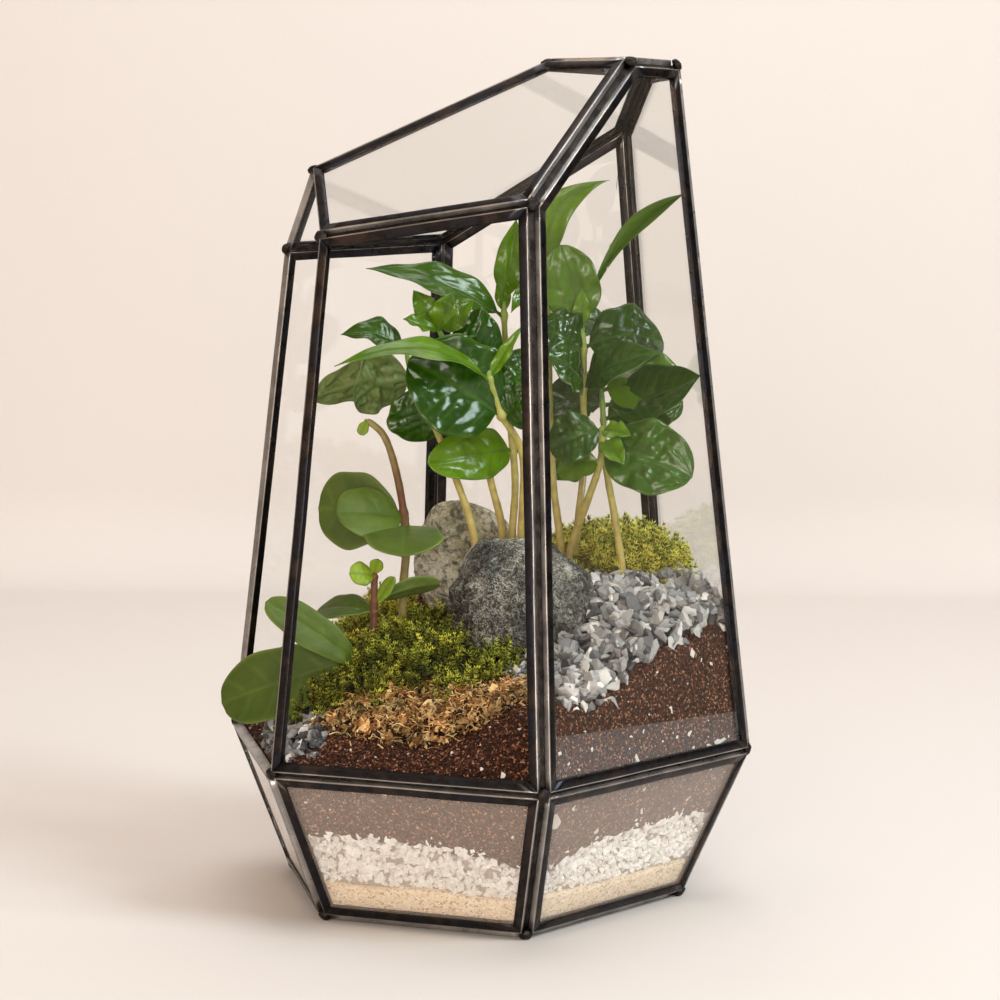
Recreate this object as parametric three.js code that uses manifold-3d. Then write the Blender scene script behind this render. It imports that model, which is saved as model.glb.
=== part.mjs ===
// A planted geometric glass terrarium. A six-sided glass house leans in above an inverted six-sided
// base. Its panes sit in U-shaped metal came, soldered at the joints. Two neighbouring sides have no
// glass: the gable side, which looks along -X, and the front side, which only has an empty came.
// Millimetres, +Z up, standing on z = 0. The house's axis is at x = y = 0 until the last lines, which
// put the origin under the middle of the whole.

import * as THREE from 'three';
import { mergeVertices } from 'three/addons/utils/BufferGeometryUtils.js';
import Module from 'manifold-3d';

const wasm = await Module();
wasm.setup();

// Came and glass
const GAP = 0.3;
const GLASS = 2.0;
const CAME_DEPTH = 3.5;
const CAME_FACE = 3.3;
const CAME_WALL = 0.45;
const SLOT = GLASS + 2 * GAP;
const BLOB_RADIUS = 2.9;
const BLOB_PROUD = 0.5;
const BLOB_ROOM = BLOB_RADIUS + GAP;

// Glass house
const BASE_Z = CAME_DEPTH / 2;
const BELT_Z = 54.25;
const TOP_Z = 292.25;
const APEX_Z = 859.75;
const BASE_SCALE = 0.76;
const ROOF_AT_RIGHT_POST = 313;
const CORNERS = [
  { name: 'front', radius: 100, angle: -92, eave: 243.75 },
  { name: 'right', radius: 96, angle: -26 },
  { name: 'rear_right', radius: 99, angle: 30, eave: 273.25 },
  { name: 'rear', radius: 90, angle: 89, eave: 230.75 },
  { name: 'rear_left', radius: 94, angle: 149.5, eave: 227.75 },
  { name: 'left', radius: 96.5, angle: 210, eave: 232.75 },
];
const SIDES = ['front_right', 'right', 'rear_right', 'rear_left', 'gable', 'front'];

// Filling
const FILL_ROOM = CAME_DEPTH / 2 + 0.35;
const FILL_BOTTOM = CAME_DEPTH + GAP;
const SAND_TOP = 14.4;
const GRAVEL_TOP = 32.2;
const SOIL_SILL = 55;
const SOIL_CREST = 105;
const STEM_RADIUS = 1.5;
const ROOT_DEPTH = 8;
const BLADE = 0.7;
const ROOT_HALF = 0.9;
const TIP_HALF = 0.4;
const PLANT_ROOM = 0.35;
const ROCK_ROOM = 0.4;
const COVER_SUNK = 1.5;

// Faces that lie this close to one plane are joined in one.
const FINEST = 0.02;

// The plants are dressed towards this direction, a little left of the front corner.
const DRESSED_TOWARDS = new THREE.Vector3(-0.25, -0.97, 0).normalize();

const UP = new THREE.Vector3(0, 0, 1);

// Materials
function finish(color, roughness, metalness = 0, opacity = 1) {
  return new THREE.MeshStandardMaterial({ color, roughness, metalness, opacity, transparent: opacity < 1 });
}

const MATERIALS = {
  came: finish(0x3b3634, 0.45, 0.85),
  glass: finish(0xf2f5f0, 0.05, 0, 0.25),
  sand: finish(0xd9bf94, 0.95),
  gravel: finish(0xe9e7e2, 0.8),
  soil: finish(0x3a2018, 1.0),
  slate: finish(0x8b9198, 0.7),
  rock: finish(0x7d8680, 0.75),
  moss: finish(0x7f8f26, 1.0),
  dried_moss: finish(0xa27a4c, 1.0),
  coffee: finish(0x2c6b24, 0.3),
  peperomia: finish(0x4c7a3c, 0.5),
};

const group = new THREE.Group();

// Solids: a geometry is closed by merging its shared vertices, then joined and cut as a solid.
function toSolid(geometry) {
  const bare = geometry.clone();
  bare.deleteAttribute('normal');
  bare.deleteAttribute('uv');
  const merged = mergeVertices(bare, 1e-4);
  const solid = new wasm.Manifold(new wasm.Mesh({
    numProp: 3,
    vertProperties: new Float32Array(merged.attributes.position.array),
    triVerts: new Uint32Array(merged.index.array),
  }));
  return solid;
}

// Crumbs that the cuts leave behind are dropped.
function largestBody(solid) {
  const bodies = solid.decompose();
  return bodies.reduce((best, body) => (body.volume() > best.volume() ? body : best));
}

function add(name, solid, material) {
  const mesh = largestBody(solid.asOriginal().simplify(FINEST)).getMesh();
  const geometry = new THREE.BufferGeometry();
  geometry.setAttribute('position', new THREE.BufferAttribute(mesh.vertProperties, 3));
  geometry.setIndex(new THREE.BufferAttribute(mesh.triVerts, 1));
  geometry.computeVertexNormals();
  const node = new THREE.Mesh(geometry, material);
  node.name = name;
  group.add(node);
}

function joinAll(solids) {
  return solids.reduce((whole, piece) => whole.add(piece));
}

// Keeps the side of a plane that its normal points to.
function keepBeyond(solid, normal, point) {
  return solid.trimByPlane([normal.x, normal.y, normal.z], normal.dot(point));
}

function placed(geometry, xAxis, yAxis, zAxis, origin) {
  const basis = new THREE.Matrix4().makeBasis(xAxis, yAxis, zAxis);
  basis.setPosition(origin);
  return geometry.applyMatrix4(basis);
}

// Planes of the glass house
function planeThrough(a, b, c) {
  const plane = new THREE.Plane().setFromCoplanarPoints(a, b, c);
  const middle = new THREE.Vector3(0, 0, BELT_Z + 60);
  return plane.distanceToPoint(middle) > 0 ? plane.negate() : plane;
}

function meet(p, q, r) {
  const system = new THREE.Matrix3().set(
    p.normal.x, p.normal.y, p.normal.z,
    q.normal.x, q.normal.y, q.normal.z,
    r.normal.x, r.normal.y, r.normal.z,
  );
  return new THREE.Vector3(-p.constant, -q.constant, -r.constant).applyMatrix3(system.invert());
}

const COUNT = CORNERS.length;
const apex = new THREE.Vector3(0, 0, APEX_Z);

function beltJoint(i) {
  const { radius, angle } = CORNERS[i % COUNT];
  const turn = THREE.MathUtils.degToRad(angle);
  return new THREE.Vector3(radius * Math.cos(turn), radius * Math.sin(turn), BELT_Z);
}

function onPost(i, z) {
  return beltJoint(i).lerp(apex, (z - BELT_Z) / (APEX_Z - BELT_Z));
}

const joints = {};
CORNERS.forEach((corner, i) => {
  const belt = beltJoint(i);
  joints[`belt_${corner.name}`] = belt;
  joints[`base_${corner.name}`] = new THREE.Vector3(belt.x * BASE_SCALE, belt.y * BASE_SCALE, BASE_Z);
  if (corner.eave) joints[`eave_${corner.name}`] = onPost(i, corner.eave);
});

const basePlane = new THREE.Plane(new THREE.Vector3(0, 0, -1), BASE_Z);
const topPlane = new THREE.Plane(new THREE.Vector3(0, 0, 1), -TOP_Z);
const upperPlanes = {};
const lowerPlanes = {};
SIDES.forEach((side, i) => {
  const a = CORNERS[i].name;
  const b = CORNERS[(i + 1) % COUNT].name;
  upperPlanes[side] = planeThrough(joints[`belt_${a}`], joints[`belt_${b}`], apex);
  lowerPlanes[side] = planeThrough(joints[`belt_${a}`], joints[`belt_${b}`], joints[`base_${a}`]);
});
const frontRoof = planeThrough(joints.eave_left, joints.eave_front, onPost(1, ROOF_AT_RIGHT_POST));
const rearRoof = planeThrough(joints.eave_rear_left, joints.eave_rear, joints.eave_rear_right);
joints.gable_peak = meet(frontRoof, rearRoof, upperPlanes.gable);
joints.ridge_end = meet(frontRoof, rearRoof, topPlane);
joints.top_front = meet(frontRoof, topPlane, upperPlanes.front_right);
joints.top_rear = meet(rearRoof, topPlane, upperPlanes.right);
joints.top_right = meet(topPlane, upperPlanes.front_right, upperPlanes.right);

// Panes, each a list of joints in order round its edge. The front side has a came and no glass.
const panes = [
  { name: 'glass_base', plane: basePlane, round: CORNERS.map(({ name }) => `base_${name}`) },
  {
    name: 'glass_front_right',
    plane: upperPlanes.front_right,
    round: ['belt_front', 'belt_right', 'top_right', 'top_front', 'eave_front'],
  },
  {
    name: 'glass_right',
    plane: upperPlanes.right,
    round: ['belt_right', 'belt_rear_right', 'eave_rear_right', 'top_rear', 'top_right'],
  },
  {
    name: 'glass_rear_right',
    plane: upperPlanes.rear_right,
    round: ['belt_rear_right', 'belt_rear', 'eave_rear', 'eave_rear_right'],
  },
  {
    name: 'glass_rear_left',
    plane: upperPlanes.rear_left,
    round: ['belt_rear', 'belt_rear_left', 'eave_rear_left', 'eave_rear'],
  },
  {
    name: 'open_front',
    plane: upperPlanes.front,
    round: ['belt_left', 'belt_front', 'eave_front', 'eave_left'],
    open: true,
  },
  {
    name: 'glass_roof_front',
    plane: frontRoof,
    round: ['eave_left', 'eave_front', 'top_front', 'ridge_end', 'gable_peak'],
  },
  {
    name: 'glass_roof_rear',
    plane: rearRoof,
    round: ['eave_rear_left', 'eave_rear', 'eave_rear_right', 'top_rear', 'ridge_end', 'gable_peak'],
  },
  { name: 'glass_top', plane: topPlane, round: ['ridge_end', 'top_front', 'top_right', 'top_rear'] },
];
SIDES.forEach((side, i) => {
  const a = CORNERS[i].name;
  const b = CORNERS[(i + 1) % COUNT].name;
  panes.push({
    name: `glass_lower_${side}`,
    plane: lowerPlanes[side],
    round: [`base_${a}`, `base_${b}`, `belt_${b}`, `belt_${a}`],
  });
});

function edgeKey(a, b) {
  return [a, b].sort().join(' ');
}

const edges = {};
panes.forEach((pane) => {
  pane.edges = pane.round.map((from, i) => {
    const to = pane.round[(i + 1) % pane.round.length];
    const edge = { pane, index: i, from: joints[from], to: joints[to] };
    edge.along = edge.to.clone().sub(edge.from).normalize();
    edge.inward = new THREE.Vector3().crossVectors(pane.plane.normal, edge.along).normalize();
    const centre = pane.round.reduce((sum, name) => sum.add(joints[name]), new THREE.Vector3());
    centre.divideScalar(pane.round.length);
    if (edge.inward.dot(centre.sub(edge.from)) < 0) edge.inward.negate();
    const key = edgeKey(from, to);
    edges[key] = edges[key] ?? [];
    edges[key].push(edge);
    return edge;
  });
});

// Two cames along one edge stand off from it so that their inner corners nearly touch.
Object.values(edges).forEach((pair) => {
  pair.forEach((edge) => {
    edge.inset = GAP / 2;
    if (pair.length === 2) {
      const bend = pair[0].pane.plane.normal.angleTo(pair[1].pane.plane.normal);
      edge.inset += (CAME_DEPTH / 2) * Math.tan(bend / 2);
    }
  });
});

// The corner of a pane's outline where two edges meet, each moved inward by its own offset.
function outlineCorner(edge, next, offset, nextOffset) {
  const { normal } = edge.pane.plane;
  const a = new THREE.Plane().setFromNormalAndCoplanarPoint(
    edge.inward,
    edge.from.clone().addScaledVector(edge.inward, offset),
  );
  const b = new THREE.Plane().setFromNormalAndCoplanarPoint(
    next.inward,
    next.from.clone().addScaledVector(next.inward, nextOffset),
  );
  return meet(a, b, new THREE.Plane().setFromNormalAndCoplanarPoint(normal, edge.from));
}

function neighbours(edge) {
  const { edges: all } = edge.pane;
  const count = all.length;
  return { before: all[(edge.index + count - 1) % count], after: all[(edge.index + 1) % count] };
}

// A length of U-shaped came along one edge of a pane, mitred at both ends.
function came(edge) {
  const half = CAME_DEPTH / 2;
  const start = edge.inset;
  const floor = start + CAME_WALL;
  const face = start + CAME_FACE;
  const section = new THREE.Shape([
    [start, -half], [face, -half], [face, -SLOT / 2], [floor, -SLOT / 2],
    [floor, SLOT / 2], [face, SLOT / 2], [face, half], [start, half],
  ].map(([x, y]) => new THREE.Vector2(x, y)));
  const length = edge.from.distanceTo(edge.to);
  const bar = new THREE.ExtrudeGeometry(section, { depth: length, bevelEnabled: false });
  const across = new THREE.Vector3().crossVectors(edge.along, edge.inward);
  let solid = toSolid(placed(bar, edge.inward, across, edge.along, edge.from));
  const { before, after } = neighbours(edge);
  [[before, 1], [after, -1]].forEach(([other, sign]) => {
    const corner = outlineCorner(edge, other, edge.inset, other.inset);
    const mitre = edge.along.clone().add(other.along).normalize().multiplyScalar(sign);
    solid = keepBeyond(solid, mitre, corner.addScaledVector(mitre, GAP / 2));
  });
  return solid;
}

// Solder that fills the bottom of the groove between the two cames of one edge. It stops short of
// a joint whose blob belongs to another bar.
function solder(pair, shortFrom, shortTo) {
  const [a, b] = pair;
  const across = new THREE.Vector3().crossVectors(a.along, a.inward);
  const bite = 0.25;
  const corner = (edge, depth) => {
    const point = edge.inward.clone().multiplyScalar(edge.inset + bite);
    point.addScaledVector(edge.pane.plane.normal, -depth);
    return new THREE.Vector2(point.dot(a.inward), point.dot(across));
  };
  const [innerA, innerB] = [a, b].map((edge) => corner(edge, CAME_DEPTH / 2));
  const [outerA, outerB] = [a, b].map((edge) => corner(edge, CAME_DEPTH / 10));
  const depth = a.from.distanceTo(a.to) - shortFrom - shortTo;
  const outline = [innerA, outerA, outerB, innerB];
  const section = new THREE.Shape(THREE.ShapeUtils.isClockWise(outline) ? outline.reverse() : outline);
  const strip = new THREE.ExtrudeGeometry(section, { depth, bevelEnabled: false });
  const start = a.from.clone().addScaledVector(a.along, shortFrom);
  return toSolid(placed(strip, a.inward, across, a.along, start));
}

// A blob of solder on a joint, a little proud of it.
function blob(name) {
  const proud = new THREE.Vector3();
  panes.filter(({ round }) => round.includes(name)).forEach(({ plane }) => proud.add(plane.normal));
  const centre = joints[name].clone().addScaledVector(proud.normalize(), BLOB_PROUD);
  const ball = new THREE.IcosahedronGeometry(BLOB_RADIUS, 0);
  ball.translate(centre.x, centre.y, centre.z);
  return toSolid(ball).trimByPlane([0, 0, 1], 0);
}

// Each bar of the frame: the edges it covers and the joints whose solder it carries.
const names = CORNERS.map(({ name }) => name);
const ring = (level) => names.map((name, i) => [`${level}_${name}`, `${level}_${names[(i + 1) % COUNT]}`]);
const bars = [
  { name: 'came_base', spans: ring('base'), blobs: names.map((name) => `base_${name}`) },
  { name: 'came_belt', spans: ring('belt'), blobs: names.map((name) => `belt_${name}`) },
  { name: 'came_eave_front', spans: [['eave_left', 'eave_front']], blobs: ['eave_left', 'eave_front'] },
  { name: 'came_eave_rear_left', spans: [['eave_rear_left', 'eave_rear']], blobs: ['eave_rear_left'] },
  {
    name: 'came_eave_rear_right',
    spans: [['eave_rear', 'eave_rear_right']],
    blobs: ['eave_rear', 'eave_rear_right'],
  },
  { name: 'came_rake_front', spans: [['eave_front', 'top_front']], blobs: [] },
  { name: 'came_rake_rear', spans: [['eave_rear_right', 'top_rear']], blobs: [] },
  { name: 'came_gable_front', spans: [['eave_left', 'gable_peak']], blobs: [] },
  { name: 'came_gable_rear', spans: [['eave_rear_left', 'gable_peak']], blobs: [] },
  { name: 'came_ridge', spans: [['gable_peak', 'ridge_end']], blobs: ['gable_peak'] },
  {
    name: 'came_top',
    spans: [
      ['ridge_end', 'top_front'], ['top_front', 'top_right'],
      ['top_right', 'top_rear'], ['top_rear', 'ridge_end'],
    ],
    blobs: ['ridge_end', 'top_front', 'top_right', 'top_rear'],
  },
];
names.forEach((name) => {
  const head = name === 'right' ? 'top_right' : `eave_${name}`;
  bars.push({ name: `came_post_${name}`, spans: [[`belt_${name}`, head]], blobs: [] });
  bars.push({ name: `came_strut_${name}`, spans: [[`base_${name}`, `belt_${name}`]], blobs: [] });
});

bars.forEach(({ name, spans, blobs }) => {
  const pieces = spans.map(([from, to]) => {
    const pair = edges[edgeKey(from, to)];
    const short = (place) => (blobs.some((name) => joints[name] === place) ? 0 : BLOB_ROOM);
    let bar = joinAll(pair.map(came));
    if (pair.length === 2) bar = bar.add(solder(pair, short(pair[0].from), short(pair[0].to)));
    [[from, to], [to, from]].forEach(([near, far]) => {
      if (blobs.includes(near)) return;
      const towards = joints[far].clone().sub(joints[near]).normalize();
      bar = keepBeyond(bar, towards, joints[near].clone().addScaledVector(towards, BLOB_ROOM));
    });
    return bar;
  });
  add(name, joinAll([...pieces, ...blobs.map(blob)]), MATERIALS.came);
});

// Glass panes, each in the slots of its cames, with the corners nipped off short of the solder.
panes.filter(({ open }) => !open).forEach((pane) => {
  const [first] = pane.edges;
  const across = new THREE.Vector3().crossVectors(first.along, first.inward);
  const outline = pane.edges.map((edge) => {
    const { after } = neighbours(edge);
    const setBack = CAME_WALL + GAP;
    const corner = outlineCorner(edge, after, edge.inset + setBack, after.inset + setBack).sub(first.from);
    return new THREE.Vector2(corner.dot(first.inward), corner.dot(first.along));
  });
  if (THREE.ShapeUtils.isClockWise(outline)) outline.reverse();
  const sheet = new THREE.ExtrudeGeometry(new THREE.Shape(outline), { depth: GLASS, bevelEnabled: false });
  const lift = across.clone().negate();
  const origin = first.from.clone().addScaledVector(lift, -GLASS / 2);
  let solid = toSolid(placed(sheet, first.inward, first.along, lift, origin));
  pane.edges.forEach((edge) => {
    const { after } = neighbours(edge);
    const corner = outlineCorner(edge, after, 1, 1);
    const inward = corner.sub(edge.to).normalize();
    solid = keepBeyond(solid, inward, edge.to.clone().addScaledVector(inward, BLOB_ROOM + GAP));
  });
  add(pane.name, solid, MATERIALS.glass);
});

// Filling. The room inside the panes is one convex space.
function insideRoom() {
  const block = new THREE.BoxGeometry(260, 260, 320);
  block.translate(0, 0, 160 + FILL_BOTTOM);
  let solid = toSolid(block);
  [...Object.values(upperPlanes), ...Object.values(lowerPlanes)].forEach((plane) => {
    const inward = plane.normal.clone().negate();
    const onPlane = plane.coplanarPoint(new THREE.Vector3());
    solid = keepBeyond(solid, inward, onPlane.addScaledVector(inward, FILL_ROOM));
  });
  return solid;
}

// How far a place lies inside one side of the belt, seen from above.
function insideDistance(side, x, y) {
  const i = SIDES.indexOf(side);
  const a = beltJoint(i);
  const b = beltJoint(i + 1);
  const along = b.clone().sub(a).normalize();
  return (y - a.y) * along.x - (x - a.x) * along.y;
}

function bump(x, y, cx, cy, spread) {
  return Math.exp(-((x - cx) ** 2 + (y - cy) ** 2) / (2 * spread ** 2));
}

function smoothLeast(values, softness) {
  const sum = values.reduce((total, value) => total + Math.exp(-value / softness), 0);
  return -softness * Math.log(sum);
}

function ripple(x, y, length) {
  const crossed = Math.sin(x / length + 1.3) * Math.cos((y / length) * 1.17 + 0.4);
  return crossed + 0.5 * Math.sin(((x + y) / length) * 1.9);
}

const sandTop = (x, y) => SAND_TOP + 0.5 * ripple(x, y, 11);
const gravelTop = (x, y) => GRAVEL_TOP - 7 * bump(x, y, 0, -82, 15) + 1.1 * ripple(x, y, 7);

// The ground rises from the sills of the two open sides to a crest at the back and right.
function soilTop(x, y) {
  const front = insideDistance('front', x, y);
  const gable = insideDistance('gable', x, y);
  const frontRight = insideDistance('front_right', x, y);
  const alongWindow = THREE.MathUtils.clamp((x + 3) / 90, 0, 1);
  const ground = smoothLeast([
    SOIL_SILL + 1 + 0.62 * front + 16 * bump(x, y, -2, -84, 13),
    SOIL_SILL - 1.5 + 0.62 * gable,
    82 + 13 * alongWindow + 0.5 * frontRight,
    SOIL_CREST + 2,
  ], 2);
  return ground + 0.5 * ripple(x, y, 6);
}

// A solid from below up to a height given over the plan, on rings round a centre. The rings are
// stretched to an oval of half-lengths a and b, turned by a given angle.
function mound(top, { cx = 0, cy = 0, a = 118, b = 118, turn = 0, rings, spokes, floor = -10 }) {
  const positions = [cx, cy, top(cx, cy, 0)];
  const cos = Math.cos(THREE.MathUtils.degToRad(turn));
  const sin = Math.sin(THREE.MathUtils.degToRad(turn));
  const place = (k, share) => {
    const angle = (2 * Math.PI * k) / spokes;
    const u = a * share * Math.cos(angle);
    const v = b * share * Math.sin(angle);
    return [cx + u * cos - v * sin, cy + u * sin + v * cos];
  };
  for (let r = 1; r <= rings; r += 1) {
    for (let k = 0; k < spokes; k += 1) {
      const [x, y] = place(k, r / rings);
      positions.push(x, y, top(x, y, r / rings));
    }
  }
  const rim = positions.length / 3;
  for (let k = 0; k < spokes; k += 1) positions.push(...place(k, 1), floor);
  const bottom = positions.length / 3;
  positions.push(cx, cy, floor);
  const faces = [];
  const at = (r, k) => 1 + (r - 1) * spokes + (k % spokes);
  for (let k = 0; k < spokes; k += 1) {
    faces.push(0, at(1, k), at(1, k + 1));
    for (let r = 1; r < rings; r += 1) {
      faces.push(at(r, k), at(r + 1, k), at(r + 1, k + 1));
      faces.push(at(r, k), at(r + 1, k + 1), at(r, k + 1));
    }
    const below = rim + k;
    const next = rim + ((k + 1) % spokes);
    faces.push(at(rings, k), below, at(rings, k + 1), at(rings, k + 1), below, next);
    faces.push(bottom, next, below);
  }
  const geometry = new THREE.BufferGeometry();
  geometry.setAttribute('position', new THREE.Float32BufferAttribute(positions, 3));
  geometry.setIndex(faces);
  return toSolid(geometry);
}

const room = insideRoom();
const SAND_GRID = { rings: 3, spokes: 20 };
const GRAVEL_GRID = { rings: 5, spokes: 30 };
const SOIL_GRID = { rings: 10, spokes: 28 };
const raised = (height, lift) => (x, y) => height(x, y) + lift;

add('sand', room.intersect(mound(sandTop, SAND_GRID)), MATERIALS.sand);
const gravelField = room.intersect(mound(gravelTop, GRAVEL_GRID));
const sandRoom = mound(raised(sandTop, GAP), SAND_GRID);
add('white_gravel', gravelField.subtract(sandRoom), MATERIALS.gravel);
const gravelRoom = mound(raised(gravelTop, GAP), GRAVEL_GRID);
const soilField = room.intersect(mound(soilTop, SOIL_GRID));
const soilRoom = mound(raised(soilTop, GAP), SOIL_GRID);

// Plants. A leaf's outline, fold and waves by its kind.
const LEAVES = {
  true: { skew: 0.85, blunt: 0.95, fold: 14, waves: 2.5, waveHeight: 0.8 },
  long: { skew: 0.6, blunt: 1.05, fold: 12, waves: 2, waveHeight: 0.6 },
  round: { skew: 1.0, blunt: 0.55, fold: 9, waves: 3.5, waveHeight: 1.2 },
  folded: { skew: 2.0, blunt: 0.9, fold: 48, waves: 1.5, waveHeight: 0.5 },
  oval: { skew: 1.15, blunt: 0.55, fold: 5, waves: 0, waveHeight: 0 },
};

// A leaf is a blade on a grid: u runs from base to tip along an arched midrib, v from margin to
// margin. The half width is a power of a sine, and the margins rise with the fold and the waves.
function blade(leaf, base, swell) {
  const kind = LEAVES[leaf.kind];
  const turn = THREE.MathUtils.degToRad(leaf.turn);
  const rise = THREE.MathUtils.degToRad(leaf.rise);
  const look = THREE.MathUtils.degToRad(leaf.look);
  const fold = THREE.MathUtils.degToRad(kind.fold);
  const axis = new THREE.Vector3(
    Math.cos(rise) * Math.cos(turn),
    Math.cos(rise) * Math.sin(turn),
    Math.sin(rise),
  );
  const up = UP.clone().multiplyScalar(Math.cos(look)).addScaledVector(DRESSED_TOWARDS, Math.sin(look));
  up.addScaledVector(axis, -up.dot(axis)).normalize();
  const side = new THREE.Vector3().crossVectors(up, axis);
  const alongCells = leaf.length > 18 ? 5 : 4;
  const acrossCells = leaf.width > 16 ? 4 : 2;
  const grid = [];
  for (let i = 0; i <= alongCells; i += 1) {
    const u = i / alongCells;
    const bow = 4 * u * (1 - u);
    const swing = Math.sin(Math.PI * u ** kind.skew);
    const narrowest = ROOT_HALF + (TIP_HALF - ROOT_HALF) * u;
    const half = Math.max((leaf.width / 2) * Math.max(swing, 0) ** kind.blunt, narrowest) + swell;
    for (let j = 0; j <= acrossCells; j += 1) {
      const v = (2 * j) / acrossCells - 1;
      const crest = Math.sin(2 * Math.PI * kind.waves * u + 1.4 * Math.sign(v));
      const wave = kind.waveHeight * crest * v * v * bow;
      const point = base.clone().addScaledVector(axis, leaf.length * u + swell * (2 * u - 1));
      point.addScaledVector(up, (leaf.arch ?? 0) * bow + Math.abs(v) * half * Math.sin(fold) + wave);
      point.addScaledVector(side, (leaf.sweep ?? 0) * bow + v * half * Math.cos(fold));
      grid.push(point);
    }
  }
  const row = acrossCells + 1;
  const thick = BLADE / 2 + swell;
  const positions = [];
  [1, -1].forEach((face) => grid.forEach((p) => {
    positions.push(...p.clone().addScaledVector(up, face * thick).toArray());
  }));
  const under = grid.length;
  const faces = [];
  for (let i = 0; i < alongCells; i += 1) {
    for (let j = 0; j < acrossCells; j += 1) {
      const a = i * row + j;
      const b = a + row;
      faces.push(a, b, b + 1, a, b + 1, a + 1);
      faces.push(under + a, under + b + 1, under + b, under + a, under + a + 1, under + b + 1);
    }
  }
  const wall = (a, b) => faces.push(a, b, under + b, a, under + b, under + a);
  for (let i = 0; i < alongCells; i += 1) {
    wall((i + 1) * row, i * row);
    wall(i * row + acrossCells, (i + 1) * row + acrossCells);
  }
  for (let j = 0; j < acrossCells; j += 1) {
    wall(j, j + 1);
    wall(alongCells * row + j + 1, alongCells * row + j);
  }
  const geometry = new THREE.BufferGeometry();
  geometry.setAttribute('position', new THREE.Float32BufferAttribute(positions, 3));
  geometry.setIndex(faces);
  return toSolid(geometry);
}

function stemCurve(plant) {
  const points = plant.route.map((p) => new THREE.Vector3(...p));
  const [foot] = points;
  points.unshift(new THREE.Vector3(foot.x, foot.y, soilTop(foot.x, foot.y) - ROOT_DEPTH));
  return {
    curve: new THREE.CatmullRomCurve3(points, false, 'catmullrom', 0.5),
    above: 1 / (points.length - 1),
  };
}

// A stem with its leaves' roots sunk into it. Leaf places count from the ground, 0, to the tip, 1.
function plantSolid(plant, swell) {
  const { curve, above } = stemCurve(plant);
  const radius = (plant.radius ?? STEM_RADIUS) + swell;
  const section = new THREE.Shape();
  section.absarc(0, 0, radius, 0, 2 * Math.PI);
  const extrudePath = curve;
  const steps = plant.route.length + 3;
  const along = { steps, curveSegments: 3, extrudePath, bevelEnabled: false };
  const stem = new THREE.ExtrudeGeometry(section, along);
  const parts = [toSolid(stem)];
  plant.leaves.forEach((leaf) => {
    parts.push(blade(leaf, curve.getPoint(above + (1 - above) * leaf.at), swell));
  });
  return { whole: joinAll(parts), stem: parts[0] };
}

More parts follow.
